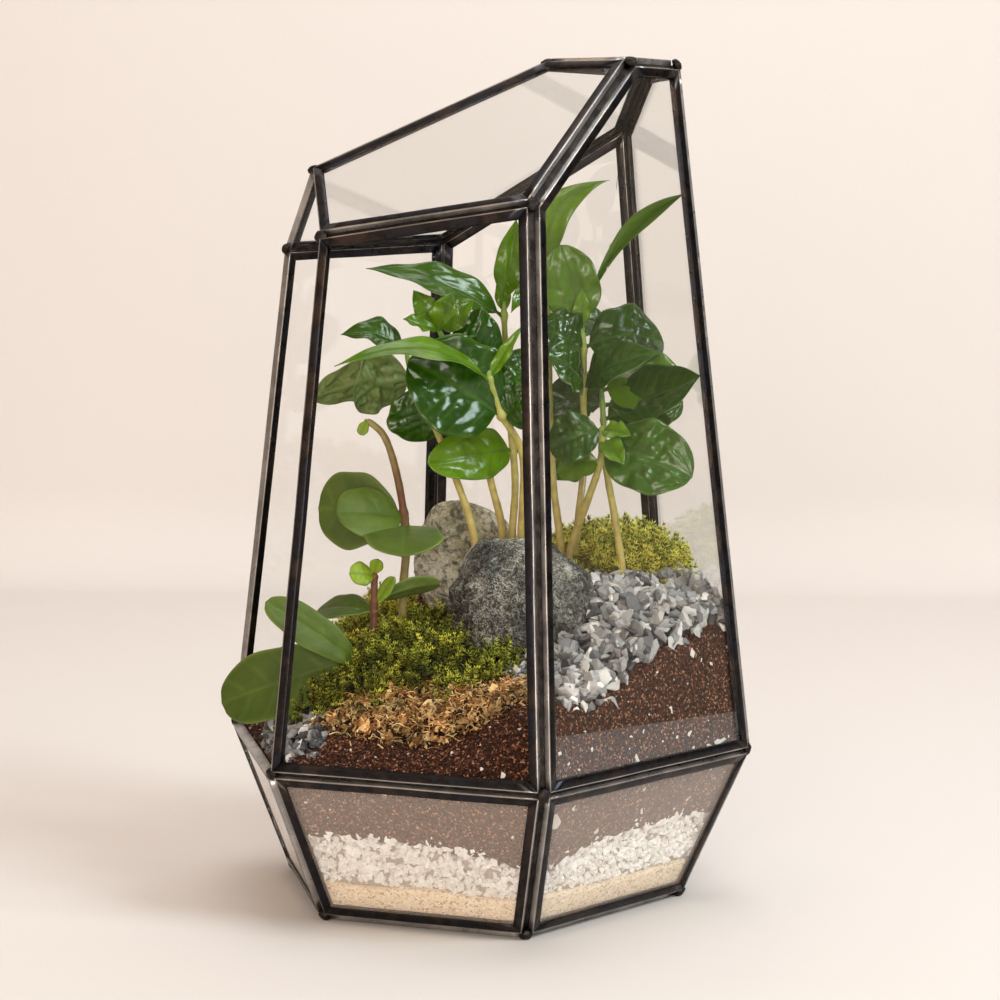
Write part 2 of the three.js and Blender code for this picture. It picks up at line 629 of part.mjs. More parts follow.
const PLANTS = {
  coffee_1: {
    route: [[-2, 2, 124], [-9, 2, 147], [-17, 2, 166], [-25, 2, 184], [-27, 3, 192]],
    leaves: [
      { at: 0.73, turn: -168, rise: -19, length: 24, width: 25, look: -60, arch: 4, kind: 'round' },
      { at: 0.76, turn: 153, rise: -15, length: 38, width: 16, look: -70, arch: 4, kind: 'round' },
      { at: 0.70, turn: 51, rise: -72, length: 22, width: 24, look: 75, arch: 2, kind: 'round' },
      { at: 1.00, turn: 176, rise: 15, length: 24, width: 14, look: 40, arch: 5, kind: 'true' },
    ],
  },
  coffee_2: {
    route: [[8, 1, 127], [4, 3, 146], [0, 5, 168], [-10, 2, 189], [-16, 0, 200]],
    leaves: [
      { at: 0.87, turn: -13, rise: -7, length: 20, width: 26, look: 75, arch: 4, kind: 'round' },
      { at: 0.99, turn: -60, rise: 67, length: 15, width: 11, look: 80, arch: 1, kind: 'true' },
      { at: 1.00, turn: 142, rise: 54, length: 17, width: 9, look: 70, arch: 1, kind: 'true' },
      { at: 0.99, turn: -176, rise: 18, length: 14, width: 8, look: 45, arch: 1, kind: 'true' },
      { at: 1.00, turn: -33, rise: 40, length: 17, width: 12, look: 70, arch: 2, kind: 'true' },
    ],
  },
  coffee_3: {
    route: [[13, -6, 126], [12, -11, 156], [3, -15, 171], [-2, -18, 184], [-2, -18, 187]],
    leaves: [
      { at: 0.72, turn: -168, rise: 6, length: 59, width: 13, look: 35, arch: 10, kind: 'long' },
      { at: 0.75, turn: -25, rise: 58, length: 22, width: 5, look: 60, arch: 1, kind: 'long' },
      { at: 0.49, turn: -173, rise: 30, length: 40, width: 36, look: 70, arch: 3, kind: 'round' },
      { at: 0.50, turn: 20, rise: 58, length: 26, width: 19, look: 70, arch: 2, kind: 'round' },
      { at: 0.48, turn: -17, rise: 24, length: 17, width: 18, look: 65, arch: 2, kind: 'round' },
    ],
  },
  coffee_4: {
    route: [[12, 3, 125], [14, 7, 146], [12, 10, 174], [10, 9, 204], [10, 9, 210]],
    leaves: [
      { at: 0.75, turn: 179, rise: 19, length: 53, width: 16, look: 45, arch: 6, kind: 'long' },
      { at: 0.97, turn: -53, rise: 80, length: 30, width: 11, look: 85, arch: 2, kind: 'true' },
      { at: 0.77, turn: -126, rise: 81, length: 15, width: 6, look: 80, kind: 'true' },
      { at: 0.35, turn: -159, rise: -5, length: 37, width: 19, look: 78, arch: 3, kind: 'round' },
      { at: 0.35, turn: 9, rise: -12, length: 32, width: 16, look: 85, arch: 3, kind: 'round' },
    ],
  },
  coffee_5: {
    route: [[28, -2, 122], [26, 2, 146], [25, 4, 175], [24, 2, 200], [23, 2, 222]],
    leaves: [
      {
        at: 1.00, turn: -29, rise: 54, length: 38,
        width: 13, look: 85, arch: 2, sweep: 9, kind: 'long',
      },
      { at: 0.98, turn: -145, rise: -37, length: 23, width: 8, look: 40, arch: 2, kind: 'true' },
      { at: 0.73, turn: 16, rise: 14, length: 25, width: 18, look: 55, arch: 3, kind: 'true' },
    ],
  },
  coffee_6: {
    route: [[29, -9, 119], [34, -15, 140], [37, -20, 154], [37, -22, 165], [37, -22, 167]],
    leaves: [
      { at: 0.65, turn: -36, rise: -18, length: 35, width: 27, look: 72, arch: 3, kind: 'round' },
      { at: 0.67, turn: -70, rise: -31, length: 15, width: 9, look: 60, arch: 1, kind: 'true' },
      { at: 0.79, turn: -61, rise: -5, length: 14, width: 8, look: 60, arch: 1, kind: 'true' },
      { at: 0.79, turn: 152, rise: -22, length: 20, width: 19, look: 65, arch: 3, kind: 'round' },
      { at: 0.51, turn: 149, rise: -15, length: 16, width: 12, look: 65, arch: 2, kind: 'round' },
    ],
  },
  coffee_7: {
    route: [[33, -2, 117], [36, -3, 152], [35, -5, 175], [34, -8, 195], [33, -7, 202]],
    leaves: [
      { at: 0.98, turn: -161, rise: 72, length: 30, width: 21, look: 90, arch: 2, kind: 'round' },
      {
        at: 0.91, turn: -32, rise: 53, length: 60,
        width: 9, look: 60, arch: 1, sweep: 7, kind: 'folded',
      },
      { at: 0.95, turn: -104, rise: 69, length: 15, width: 7, look: 80, kind: 'true' },
      { at: 0.73, turn: -4, rise: 3, length: 29, width: 25, look: 55, arch: 6, kind: 'round' },
      { at: 0.55, turn: -51, rise: 23, length: 35, width: 17, look: 55, arch: 5, kind: 'true' },
      { at: 0.56, turn: -145, rise: 30, length: 23, width: 20, look: 55, arch: 3, kind: 'round' },
      { at: 0.71, turn: -177, rise: 25, length: 19, width: 22, look: 65, arch: 3, kind: 'round' },
    ],
  },
  coffee_8: {
    route: [[46, -21, 111], [43, -19, 134], [41, -13, 153], [42, -7, 166], [42, -4, 179]],
    leaves: [
      { at: 0.89, turn: -47, rise: 17, length: 41, width: 23, look: 58, arch: -4, kind: 'true' },
      { at: 0.89, turn: 119, rise: 8, length: 28, width: 24, look: 70, arch: -2, kind: 'round' },
      { at: 0.99, turn: -11, rise: 6, length: 30, width: 24, look: 65, arch: 3, kind: 'round' },
      { at: 0.79, turn: -13, rise: 13, length: 29, width: 23, look: 60, arch: 3, kind: 'round' },
    ],
  },
  peperomia_tall: {
    route: [[-27, 7, 106], [-26, 7, 121], [-27, 6, 134], [-30, 6, 150], [-34, 7, 162], [-40, 8, 168]],
    leaves: [
      { at: 0.41, turn: 156, rise: 2, length: 31, width: 28, look: 85, arch: 1, kind: 'oval' },
      { at: 0.38, turn: -161, rise: 8, length: 28, width: 19, look: 62, arch: 2, kind: 'oval' },
      { at: 0.34, turn: -104, rise: -15, length: 28, width: 28, look: 15, arch: 2, kind: 'oval' },
      { at: 1.00, turn: -175, rise: -65, length: 6, width: 4, look: 80, kind: 'oval' },
    ],
  },
  peperomia_young: {
    route: [[-41, -10, 88], [-41, -10, 99], [-41, -10, 116]],
    leaves: [
      { at: 0.95, turn: -163, rise: 10, length: 10, width: 9, look: 60, arch: 1, kind: 'oval' },
      { at: 0.98, turn: -72, rise: 64, length: 6, width: 5, look: 80, kind: 'oval' },
      { at: 0.66, turn: -32, rise: 55, length: 13, width: 5, look: 50, kind: 'oval' },
      { at: 0.60, turn: 136, rise: -5, length: 24, width: 15, look: 30, arch: 2, kind: 'oval' },
      { at: 0.70, turn: 13, rise: 11, length: 26, width: 10, look: -50, arch: 2, kind: 'oval' },
    ],
  },
  peperomia_low: {
    route: [[-46, -19, 76], [-46, -17, 83], [-47, -16, 88]],
    leaves: [
      { at: 0.91, turn: 155, rise: -20, length: 54, width: 25, look: 70, arch: 3, kind: 'oval' },
      { at: 0.54, turn: 180, rise: 35, length: 42, width: 14, look: 55, arch: 2, kind: 'oval' },
    ],
  },
};

const plantRooms = [];
const stemRooms = [];
Object.entries(PLANTS).forEach(([name, plant]) => {
  const { whole } = plantSolid(plant, 0);
  const wide = plantSolid(plant, PLANT_ROOM);
  plantRooms.push(wide.whole);
  stemRooms.push(wide.stem);
  add(name, whole, name.startsWith('coffee') ? MATERIALS.coffee : MATERIALS.peperomia);
});
const stemRoom = joinAll(stemRooms);
const plantRoom = joinAll(plantRooms);

add('soil', soilField.subtract(gravelRoom).subtract(stemRoom), MATERIALS.soil);

// Rocks: a rounded block pushed in and out by slow waves and flattened, seated in the ground.
const ROCK_DETAIL = 2;
const ROCKS = [
  { name: 'rock_front', at: [6, -31, 103], size: [25, 15, 27], turn: -14, phase: 0.6 },
  { name: 'rock_rear', at: [0, 23, 116], size: [18, 11, 20], turn: -14, phase: 2.1 },
];

function rockSolid({ at, size, turn, phase }, swell) {
  const ball = new THREE.IcosahedronGeometry(1, ROCK_DETAIL);
  const position = ball.attributes.position;
  const point = new THREE.Vector3();
  for (let i = 0; i < position.count; i += 1) {
    point.fromBufferAttribute(position, i);
    const slow = Math.sin(2.3 * point.x + phase) * Math.cos(2.7 * point.z + phase);
    const wave = slow + Math.sin(3.1 * point.y + phase);
    const flat = 1 - 0.1 * Math.max(0, point.x * 0.6 + point.z * 0.8 - 0.72) * 4;
    const cubes = Math.abs(point.x) ** 3 + Math.abs(point.y) ** 3 + Math.abs(point.z) ** 3;
    point.multiplyScalar(((1 + 0.05 * wave) * flat) / Math.cbrt(cubes));
    point.set(point.x * (size[0] + swell), point.y * (size[1] + swell), point.z * (size[2] + swell));
    position.setXYZ(i, point.x, point.y, point.z);
  }
  ball.rotateZ(THREE.MathUtils.degToRad(turn));
  ball.translate(...at);
  return toSolid(ball);
}

const rockRooms = [];
ROCKS.forEach((rock) => {
  rockRooms.push(rockSolid(rock, ROCK_ROOM));
  add(rock.name, rockSolid(rock, 0).subtract(soilRoom), MATERIALS.rock);
});
const rockRoom = joinAll(rockRooms);

// Ground covers lie on the soil: slate chips, live moss and a band of dried moss.
let seed = 7;
function draw() {
  seed = (seed * 16807) % 2147483647;
  return seed / 2147483647;
}

function cover({ cx, cy, a, b, turn, thick, roughness, grain, rings, spokes }) {
  const top = (x, y, share) => soilTop(x, y) - COVER_SUNK
    + (thick + COVER_SUNK) * Math.sqrt(Math.max(0, 1 - share ** 3))
    + roughness * ripple(x * 1.3, y * 1.3, grain) * (1 - share ** 4);
  return mound(top, { cx, cy, a, b, turn, rings, spokes, floor: 40 });
}

function chipsOn(place, count, size) {
  const chips = [];
  const cos = Math.cos(THREE.MathUtils.degToRad(place.turn));
  const sin = Math.sin(THREE.MathUtils.degToRad(place.turn));
  for (let i = 0; i < count; i += 1) {
    const share = 0.92 * Math.sqrt((i + 0.5) / count);
    const angle = 2.39996 * i;
    const u = place.a * share * Math.cos(angle);
    const v = place.b * share * Math.sin(angle);
    const x = place.cx + u * cos - v * sin;
    const y = place.cy + u * sin + v * cos;
    const height = soilTop(x, y) + place.thick * Math.sqrt(1 - share ** 3);
    const chip = new THREE.CylinderGeometry(size * 0.6, size, size * 0.7, 4);
    chip.scale(1, 1, 0.6 + 0.5 * draw());
    chip.rotateX(Math.PI * draw());
    chip.rotateZ(Math.PI * draw());
    chip.translate(x, y, height);
    chips.push(toSolid(chip));
  }
  return joinAll(chips);
}

function settle(solid, others) {
  return others.reduce((rest, other) => rest.subtract(other), solid.intersect(room));
}

const COVERS = {
  slate_right: {
    cx: 44, cy: -43, a: 58, b: 36, turn: 33, thick: 9,
    roughness: 0.8, grain: 4, rings: 4, spokes: 18,
  },
  slate_left: {
    cx: -70, cy: -16, a: 34, b: 11, turn: 88, thick: 4,
    roughness: 0.6, grain: 4, rings: 3, spokes: 14,
  },
  moss_right: {
    cx: 54, cy: 15, a: 36, b: 27, turn: 80, thick: 13,
    roughness: 1.8, grain: 2.6, rings: 6, spokes: 22,
  },
  moss_front: {
    cx: -33, cy: -25, a: 44, b: 22, turn: -33, thick: 9,
    roughness: 2.0, grain: 2.5, rings: 5, spokes: 20,
  },
  moss_rear: {
    cx: -40, cy: 42, a: 26, b: 18, turn: 20, thick: 9,
    roughness: 2.0, grain: 2.6, rings: 5, spokes: 18,
  },
  dried_moss: {
    cx: -27, cy: -49, a: 39, b: 8, turn: -33, thick: 6,
    roughness: 1.6, grain: 2.2, rings: 4, spokes: 24,
  },
};

const taken = [soilRoom, rockRoom, plantRoom];
const slateRight = cover(COVERS.slate_right).add(chipsOn(COVERS.slate_right, 28, 5.6));
const slateLeft = cover(COVERS.slate_left).add(chipsOn(COVERS.slate_left, 10, 4.8));
const layers = [
  ['moss_front', cover(COVERS.moss_front), 'moss'],
  ['dried_moss', cover(COVERS.dried_moss), 'dried_moss'],
  ['moss_right', cover(COVERS.moss_right), 'moss'],
  ['moss_rear', cover(COVERS.moss_rear), 'moss'],
  ['slate_right', slateRight, 'slate'],
  ['slate_left', slateLeft, 'slate'],
];
layers.forEach(([name, solid, material]) => {
  add(name, settle(solid, taken), MATERIALS[material]);
  taken.push(solid.translate([0, 0, GAP]));
});

// The origin is under the middle of the whole.
const extent = new THREE.Box3().setFromObject(group);
const middle = extent.getCenter(new THREE.Vector3());
group.position.set(-middle.x, -middle.y, 0);

export default group;
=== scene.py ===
"""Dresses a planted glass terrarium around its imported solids.

A six-sided glass house in dark soldered came stands on an inverted six-sided base. It holds sand,
white gravel, soil, slate chips, rocks, moss, coffee seedlings and peperomias. Shapes are worked out
in millimetres from the house's own axis, and put into meshes in metres.
"""

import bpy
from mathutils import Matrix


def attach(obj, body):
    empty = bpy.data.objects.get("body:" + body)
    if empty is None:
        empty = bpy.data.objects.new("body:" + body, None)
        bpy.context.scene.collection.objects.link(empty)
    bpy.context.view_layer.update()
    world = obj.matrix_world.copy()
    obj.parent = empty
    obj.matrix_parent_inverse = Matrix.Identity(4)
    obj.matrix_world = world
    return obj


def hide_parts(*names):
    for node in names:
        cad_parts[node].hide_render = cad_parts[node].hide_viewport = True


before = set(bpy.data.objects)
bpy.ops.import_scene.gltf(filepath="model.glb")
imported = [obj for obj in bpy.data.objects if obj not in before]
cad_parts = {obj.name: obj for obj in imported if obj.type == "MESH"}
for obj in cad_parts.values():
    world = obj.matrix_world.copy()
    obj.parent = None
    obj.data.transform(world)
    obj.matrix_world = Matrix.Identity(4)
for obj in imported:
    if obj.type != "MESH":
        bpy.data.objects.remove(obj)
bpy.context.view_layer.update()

import logging
import math
from dataclasses import dataclass, field, replace
from enum import Enum
from functools import cache
from typing import Callable, ClassVar, Optional, Sequence

import bmesh
import bpy
import numpy as np
from mathutils import Matrix, Vector

Array = np.ndarray
Material = bpy.types.Material
Socket = bpy.types.NodeSocket
Node = bpy.types.Node
Tree = bpy.types.NodeTree
Random = np.random.Generator
Pair = tuple[float, float]
Triple = tuple[float, float, float]
Colour = Triple
Stops = tuple[tuple[float, Colour], ...]
Values = dict[str, Array]
LOG = logging.getLogger("terrarium")

MM = 0.001
TINY = 1e-6
BODY = "root"
# Where the house's axis stands in the object's frame, in millimetres.
AXIS = np.array([1.936, 4.976, 0.0])
UP = np.array([0.0, 0.0, 1.0])
# The plants are dressed towards this direction, a little left of the front corner.
DRESSED_TOWARDS = np.array([-0.25, -0.97, 0.0]) / math.hypot(0.25, 0.97)


def unit(vector: Array) -> Array:
    """Scales vectors to length one along their last axis."""
    vector = np.asarray(vector, float)
    return vector / np.linalg.norm(vector, axis=-1, keepdims=True)


def waves(x: Array, y: Array, length: float, seed: int = 0, count: int = 7) -> Array:
    """Adds up sine waves that run in random directions, for smooth uneven ground.

    Args:
        x: First coordinate.
        y: Second coordinate.
        length: Typical wave length.
        seed: Seed of the draws.
        count: Number of waves.

    Returns:
        Heights of about -1 to 1.
    """
    rng = np.random.default_rng(seed)
    angle, phase = rng.uniform(0, 2 * math.pi, (2, count))
    pitch = 2 * math.pi / (length * rng.uniform(0.7, 1.5, count))
    total = sum(
        np.sin(k * (x * math.cos(a) + y * math.sin(a)) + p) for a, p, k in zip(angle, phase, pitch)
    )
    return total / math.sqrt(count)


def lumps(points: Array, length: float, seed: int = 0, count: int = 9) -> Array:
    """Adds up sine waves in space in random directions, for lumps on a closed form."""
    rng = np.random.default_rng(seed)
    way = unit(rng.normal(size=(count, 3)))
    phase = rng.uniform(0, 2 * math.pi, count)
    pitch = 2 * math.pi / (length * rng.uniform(0.6, 1.5, count))
    return np.sin(points @ (way * pitch[:, None]).T + phase).sum(axis=-1) / math.sqrt(count)


def bump(x: Array, y: Array, cx: float, cy: float, spread: float) -> Array:
    """A bell of height one round a point of the plan."""
    return np.exp(-((x - cx) ** 2 + (y - cy) ** 2) / (2 * spread**2))


def around(radius: Array, angle: Array) -> tuple[Array, Array]:
    """Places on the plan at distances from the axis and angles."""
    return radius * np.cos(angle), radius * np.sin(angle)


def spots(x: Array, y: Array, z: Array) -> Array:
    """Points of three coordinates that are spread over the same shape."""
    return np.stack(np.broadcast_arrays(x, y, z), axis=-1)


def turned(x: Array, y: Array, degrees: float) -> tuple[Array, Array]:
    """Places on the plan, turned about the axis."""
    cos, sin = math.cos(math.radians(degrees)), math.sin(math.radians(degrees))
    return x * cos - y * sin, x * sin + y * cos


def ball(rows: int, columns: int) -> Array:
    """A unit ball's grid of points: rings from pole to pole, without the poles."""
    down = np.linspace(0, math.pi, rows)[1:-1, None]
    turn = np.linspace(0, 2 * math.pi, columns, endpoint=False)[None, :]
    return spots(*around(np.sin(down), turn), np.cos(down))


def cells(rows: int, columns: int, wrap: bool) -> Array:
    """The quads of a grid of points, where wrap joins the last column to the first."""
    index = np.arange(rows * columns).reshape(rows, columns)
    if wrap:
        index = np.concatenate([index, index[:, :1]], axis=1)
    quads = np.stack([index[:-1, :-1], index[1:, :-1], index[1:, 1:], index[:-1, 1:]], axis=-1)
    return quads.reshape(-1, 4)


@dataclass
class Surface:
    """Points in millimetres, faces in groups of equal size, and values of the points."""

    points: Array
    faces: list[Array]
    values: Values = field(default_factory=dict)

    @staticmethod
    def joined(pieces: Sequence["Surface"]) -> "Surface":
        """Puts several surfaces in one, with a value of zero where a piece lacks one.

        Args:
            pieces: The surfaces.

        Returns:
            One surface that holds them all.
        """
        starts = np.cumsum([0] + [len(p.points) for p in pieces])
        names = sorted({name for p in pieces for name in p.values})
        values = {
            name: np.concatenate([p.values.get(name, np.zeros(len(p.points))) for p in pieces])
            for name in names
        }
        faces = [f + start for p, start in zip(pieces, starts) for f in p.faces]
        return Surface(np.concatenate([p.points for p in pieces]), faces, values)

    def with_value(self, name: str, value: Array | float) -> "Surface":
        """Gives every point a value under a name."""
        self.values[name] = np.broadcast_to(np.asarray(value, float), (len(self.points),)).copy()
        return self


def grid(points: Array, values: Optional[Values] = None, wrap: bool = False) -> Surface:
    """A surface on a grid of points, rows by columns, each cell one quad.

    Args:
        points: Array of rows, columns and three coordinates.
        values: Values on the same grid, by name.
        wrap: Whether the last column joins the first.

    Returns:
        The surface.
    """
    flat = {name: np.asarray(value, float).reshape(-1) for name, value in (values or {}).items()}
    return Surface(points.reshape(-1, 3), [cells(*points.shape[:2], wrap)], flat)


def repeated(faces: Array, count: int, points: int) -> Array:
    """The faces of many copies of a form that has the given number of points."""
    start = np.arange(count)[:, None, None] * points
    return (faces[None] + start).reshape(-1, faces.shape[1])


def tube(rings: Array, values: Optional[Values] = None) -> Surface:
    """A closed skin over rings of points, with a flat end on the first and the last ring."""
    rows, columns = rings.shape[:2]
    skin = grid(rings, values, wrap=True)
    first = np.arange(columns)[::-1][None, :]
    last = (np.arange(columns) + (rows - 1) * columns)[None, :]
    return Surface(skin.points, skin.faces + [first, last], skin.values)


def make_piece(
    name: str,
    surface: Surface,
    materials: Sequence[Material],
    replaces: Sequence[str] = (),
    smooth: bool = True,
) -> None:
    """Makes an object of a surface, at the origin with its place in its mesh.

    Args:
        name: The piece's name.
        surface: Its shape.
        materials: Its materials. Where there are two, the value "second" picks the second.
        replaces: The solids that it stands for.
        smooth: Whether it is shaded smooth.
    """
    mesh = bpy.data.meshes.new(name)
    points = (surface.points + AXIS) * MM
    faces = [face for group in surface.faces for face in group.tolist()]
    mesh.from_pydata(points.tolist(), [], faces)
    for key, value in surface.values.items():
        attribute = mesh.attributes.new(key, "FLOAT", "POINT")
        attribute.data.foreach_set("value", value.astype(np.float32))
    mesh.polygons.foreach_set("use_smooth", np.full(len(mesh.polygons), smooth))
    for material in materials:
        mesh.materials.append(material)
    if len(materials) > 1:
        second = surface.values["second"] > 0.5
        picked = [int(second[face[0]]) for face in faces]
        mesh.polygons.foreach_set("material_index", picked)
    shape = bmesh.new()
    shape.from_mesh(mesh)
    bmesh.ops.recalc_face_normals(shape, faces=shape.faces)
    shape.to_mesh(mesh)
    shape.free()
    mesh.update()
    piece = bpy.data.objects.new(name, mesh)
    bpy.context.scene.collection.objects.link(piece)
    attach(piece, BODY)
    if replaces:
        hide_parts(*replaces)
    LOG.info("%s: %d points, %d faces", name, len(mesh.vertices), len(mesh.polygons))


# Effects that several finishes share


class Nodes:
    """Adds nodes to a tree and feeds them."""

    tree: Tree

    def node(self, kind: str, **settings: object) -> Node:
        """Adds a node with the given settings."""
        made = self.tree.nodes.new(f"ShaderNode{kind}")
        for key, value in settings.items():
            setattr(made, key, value)
        return made

    def feed(self, node: Node, sources: dict[int | str, Socket | Colour | float]) -> None:
        """Links each input to its socket, or sets it to its colour or number."""
        for key, source in sources.items():
            if isinstance(source, Socket):
                self.tree.links.new(source, node.inputs[key])
            else:
                value = (*source, 1.0) if isinstance(source, tuple) else source
                node.inputs[key].default_value = value


class Group(Nodes):
    """A shader node group with named inputs and outputs, built once."""

    def __init__(self, name: str, inputs: dict[str, float], outputs: Sequence[str]) -> None:
        """Makes the group's sockets.

        Args:
            name: The group's name.
            inputs: Names of its number inputs, with their defaults.
            outputs: Names of its number outputs.
        """
        self.tree = bpy.data.node_groups.new(name, "ShaderNodeTree")
        kind = "NodeSocketFloat"
        for key, value in inputs.items():
            socket = self.tree.interface.new_socket(key, in_out="INPUT", socket_type=kind)
            socket.default_value = value
        for key in outputs:
            self.tree.interface.new_socket(key, in_out="OUTPUT", socket_type=kind)
        self.source = self.tree.nodes.new("NodeGroupInput")
        self.sink = self.tree.nodes.new("NodeGroupOutput")


@cache
def mottle_effect() -> Tree:
    """Broad and fine cloudy noise, as two masks from 0 to 1."""
    inputs = {"Scale": 100.0, "Detail": 5.0, "Contrast": 2.0, "Swirl": 0.0}
    group = Group("Mottle", inputs, ("Broad", "Fine"))
    place, given = group.node("TexCoord").outputs["Object"], group.source.outputs
    for output, factor in (("Broad", 1.0), ("Fine", 4.7)):
        noise = group.node("TexNoise")
        scale = group.node("Math", operation="MULTIPLY")
        spread = group.node("Math", operation="MULTIPLY_ADD", use_clamp=True)
        centred = group.node("Math", operation="SUBTRACT")
        others = {"Detail": given["Detail"], "Distortion": given["Swirl"]}
        group.feed(scale, {0: given["Scale"], 1: factor})
        group.feed(noise, {"Vector": place, "Scale": scale.outputs[0], **others})
        group.feed(centred, {0: noise.outputs[0], 1: 0.5})
        group.feed(spread, {0: centred.outputs[0], 1: given["Contrast"], 2: 0.5})
        group.feed(group.sink, {output: spread.outputs[0]})
    return group.tree


@cache
def grains_effect() -> Tree:
    """Cells like grains: a shade for each grain, and a height that falls towards its border."""
    group = Group("Grains", {"Scale": 900.0}, ("Shade", "Height"))
    place = group.node("TexCoord").outputs["Object"]
    grain = group.node("TexVoronoi", feature="F1")
    fall = group.node("Math", operation="MULTIPLY", use_clamp=True)
    height = group.node("Math", operation="SUBTRACT", use_clamp=True)
    split = group.node("SeparateColor")
    group.feed(grain, {"Vector": place, "Scale": group.source.outputs["Scale"]})
    group.feed(split, {0: grain.outputs["Color"]})
    group.feed(fall, {0: grain.outputs["Distance"], 1: 1.2})
    group.feed(height, {0: 1.0, 1: fall.outputs[0]})
    group.feed(group.sink, {"Shade": split.outputs[0], "Height": height.outputs[0]})
    return group.tree


def grey(value: float) -> Colour:
    """A grey of the given value."""
    return (value, value, value)


class Painter(Nodes):
    """Builds one material round a Principled BSDF."""

    def __init__(self, name: str, **fixed: float | Colour) -> None:
        """Makes the material and sets the shader's fixed sockets.

        Args:
            name: The material's name.
            fixed: Socket names, with underscores for spaces, and their values.
        """
        self.material = bpy.data.materials.new(name)
        self.material.use_nodes = True
        self.tree = self.material.node_tree
        self.tree.nodes.clear()
        self.out = self.node("OutputMaterial")
        self.shader = self.node("BsdfPrincipled")
        self.feed(self.out, {0: self.shader.outputs[0]})
        self.feed(self.shader, {key.replace("_", " "): value for key, value in fixed.items()})

    def _effect(self, tree: Tree, **values: float) -> tuple[Socket, Socket]:
        """Places a shared effect with its own values, and gives its two masks."""
        made = self.node("Group", node_tree=tree)
        self.feed(made, {key.capitalize(): value for key, value in values.items()})
        return made.outputs[0], made.outputs[1]

    def mottle(self, **values: float) -> tuple[Socket, Socket]:
        """Places the cloudy noise, and gives its broad and its fine mask."""
        return self._effect(mottle_effect(), **values)

    def grains(self, **values: float) -> tuple[Socket, Socket]:
        """Places the grains, and gives their shade and their height."""
        return self._effect(grains_effect(), **values)

    def value(self, name: str) -> Socket:
        """Reads a point value of the mesh."""
        return self.node("Attribute", attribute_name=name).outputs["Fac"]

    def ramp(self, source: Socket, *stops: tuple[float, Colour]) -> Socket:
        """Turns a mask into a colour through colour stops."""
        made = self.node("ValToRGB")
        elements = made.color_ramp.elements
        while len(elements) < len(stops):
            elements.new(0.5)
        for element, (place, colour) in zip(elements, stops):
            element.position = place
            element.color = (*colour, 1.0)
        self.feed(made, {0: source})
        return made.outputs["Color"]

    def mix(
        self,
        mask: Socket | float,
        first: Socket | Colour,
        second: Socket | Colour,
        blend: str = "MIX",
    ) -> Socket:
        """Mixes two colours by a mask."""
        made = self.node("Mix", data_type="RGBA", blend_type=blend)
        self.feed(made, {0: mask, 6: first, 7: second})
        return made.outputs[2]

    def range(self, source: Socket, low: float, high: float) -> Socket:
        """Stretches a mask of 0 to 1 to a range of values."""
        made = self.node("MapRange")
        self.feed(made, {"To Min": low, "To Max": high, "Value": source})
        return made.outputs[0]

    def math(self, operation: str, first: Socket | float, second: Socket | float) -> Socket:
        """Works out a value from two."""
        made = self.node("Math", operation=operation, use_clamp=True)
        self.feed(made, {0: first, 1: second})
        return made.outputs[0]

    def times(self, first: Socket | float, second: Socket | float) -> Socket:
        """Multiplies two values."""
        return self.math("MULTIPLY", first, second)

    def relief(self, height: Socket, strength: float, depth: float) -> None:
        """Raises the surface's shading by a height mask, on top of any relief set before."""
        made = self.node("Bump")
        self.feed(made, {"Strength": strength, "Distance": depth, "Height": height})
        normal = self.shader.inputs["Normal"]
        if normal.is_linked:
            self.feed(made, {"Normal": normal.links[0].from_socket})
        self.feed(self.shader, {"Normal": made.outputs[0]})

    def colour(self, source: Socket) -> None:
        """Sets what colours the surface."""
        self.feed(self.shader, {"Base Color": source})

    def roughness(self, source: Socket) -> None:
        """Sets what roughens the surface."""
        self.feed(self.shader, {"Roughness": source})


# Finishes


@dataclass(frozen=True)
class CameFinish:
    """Blackened metal came: near black with blue and brown bloom, pale along its outer corners,
    which is partly wear and partly a painted highlight.
    """

    dark: Colour = (0.014, 0.012, 0.012)
    brown: Colour = (0.038, 0.027, 0.023)
    blue: Colour = (0.020, 0.019, 0.024)
    # Pale metal of the corners: partly wear, partly a painted highlight.
    wear_and_highlight: Colour = (0.46, 0.43, 0.41)

    def material(self) -> Material:
        """Builds the material."""
        paint = Painter("patinated_came", Metallic=0.85, Specular_IOR_Level=0.5)
        broad, fine = paint.mottle(scale=90.0, contrast=2.6)
        pits, _ = paint.mottle(scale=700.0, contrast=2.2)
        bloom = paint.ramp(broad, (0.25, self.blue), (0.5, self.dark), (0.8, self.brown))
        # Pale corners, partly wear and partly a painted highlight, broken up by the broad mottle.
        corner = paint.math("POWER", paint.value("edge"), 6.0)
        worn_and_highlight_mask = paint.times(corner, paint.range(broad, 0.4, 1.0))
        paint.colour(paint.mix(worn_and_highlight_mask, bloom, self.wear_and_highlight))
        paint.roughness(paint.range(fine, 0.24, 0.42))
        paint.relief(pits, strength=0.08, depth=0.0002)
        return paint.material


@dataclass(frozen=True)
class SolderFinish:
    """Darkened solder: lumpy dull grey."""

    dark: Colour = (0.014, 0.011, 0.010)
    pale: Colour = (0.036, 0.030, 0.027)

    def material(self) -> Material:
        """Builds the material."""
        paint = Painter("solder", Metallic=0.9, Specular_IOR_Level=0.5)
        broad, fine = paint.mottle(scale=260.0, contrast=2.4)
        paint.colour(paint.ramp(broad, (0.2, self.dark), (0.75, self.pale)))
        paint.roughness(paint.range(fine, 0.3, 0.55))
        paint.relief(fine, strength=0.4, depth=0.0003)
        return paint.material


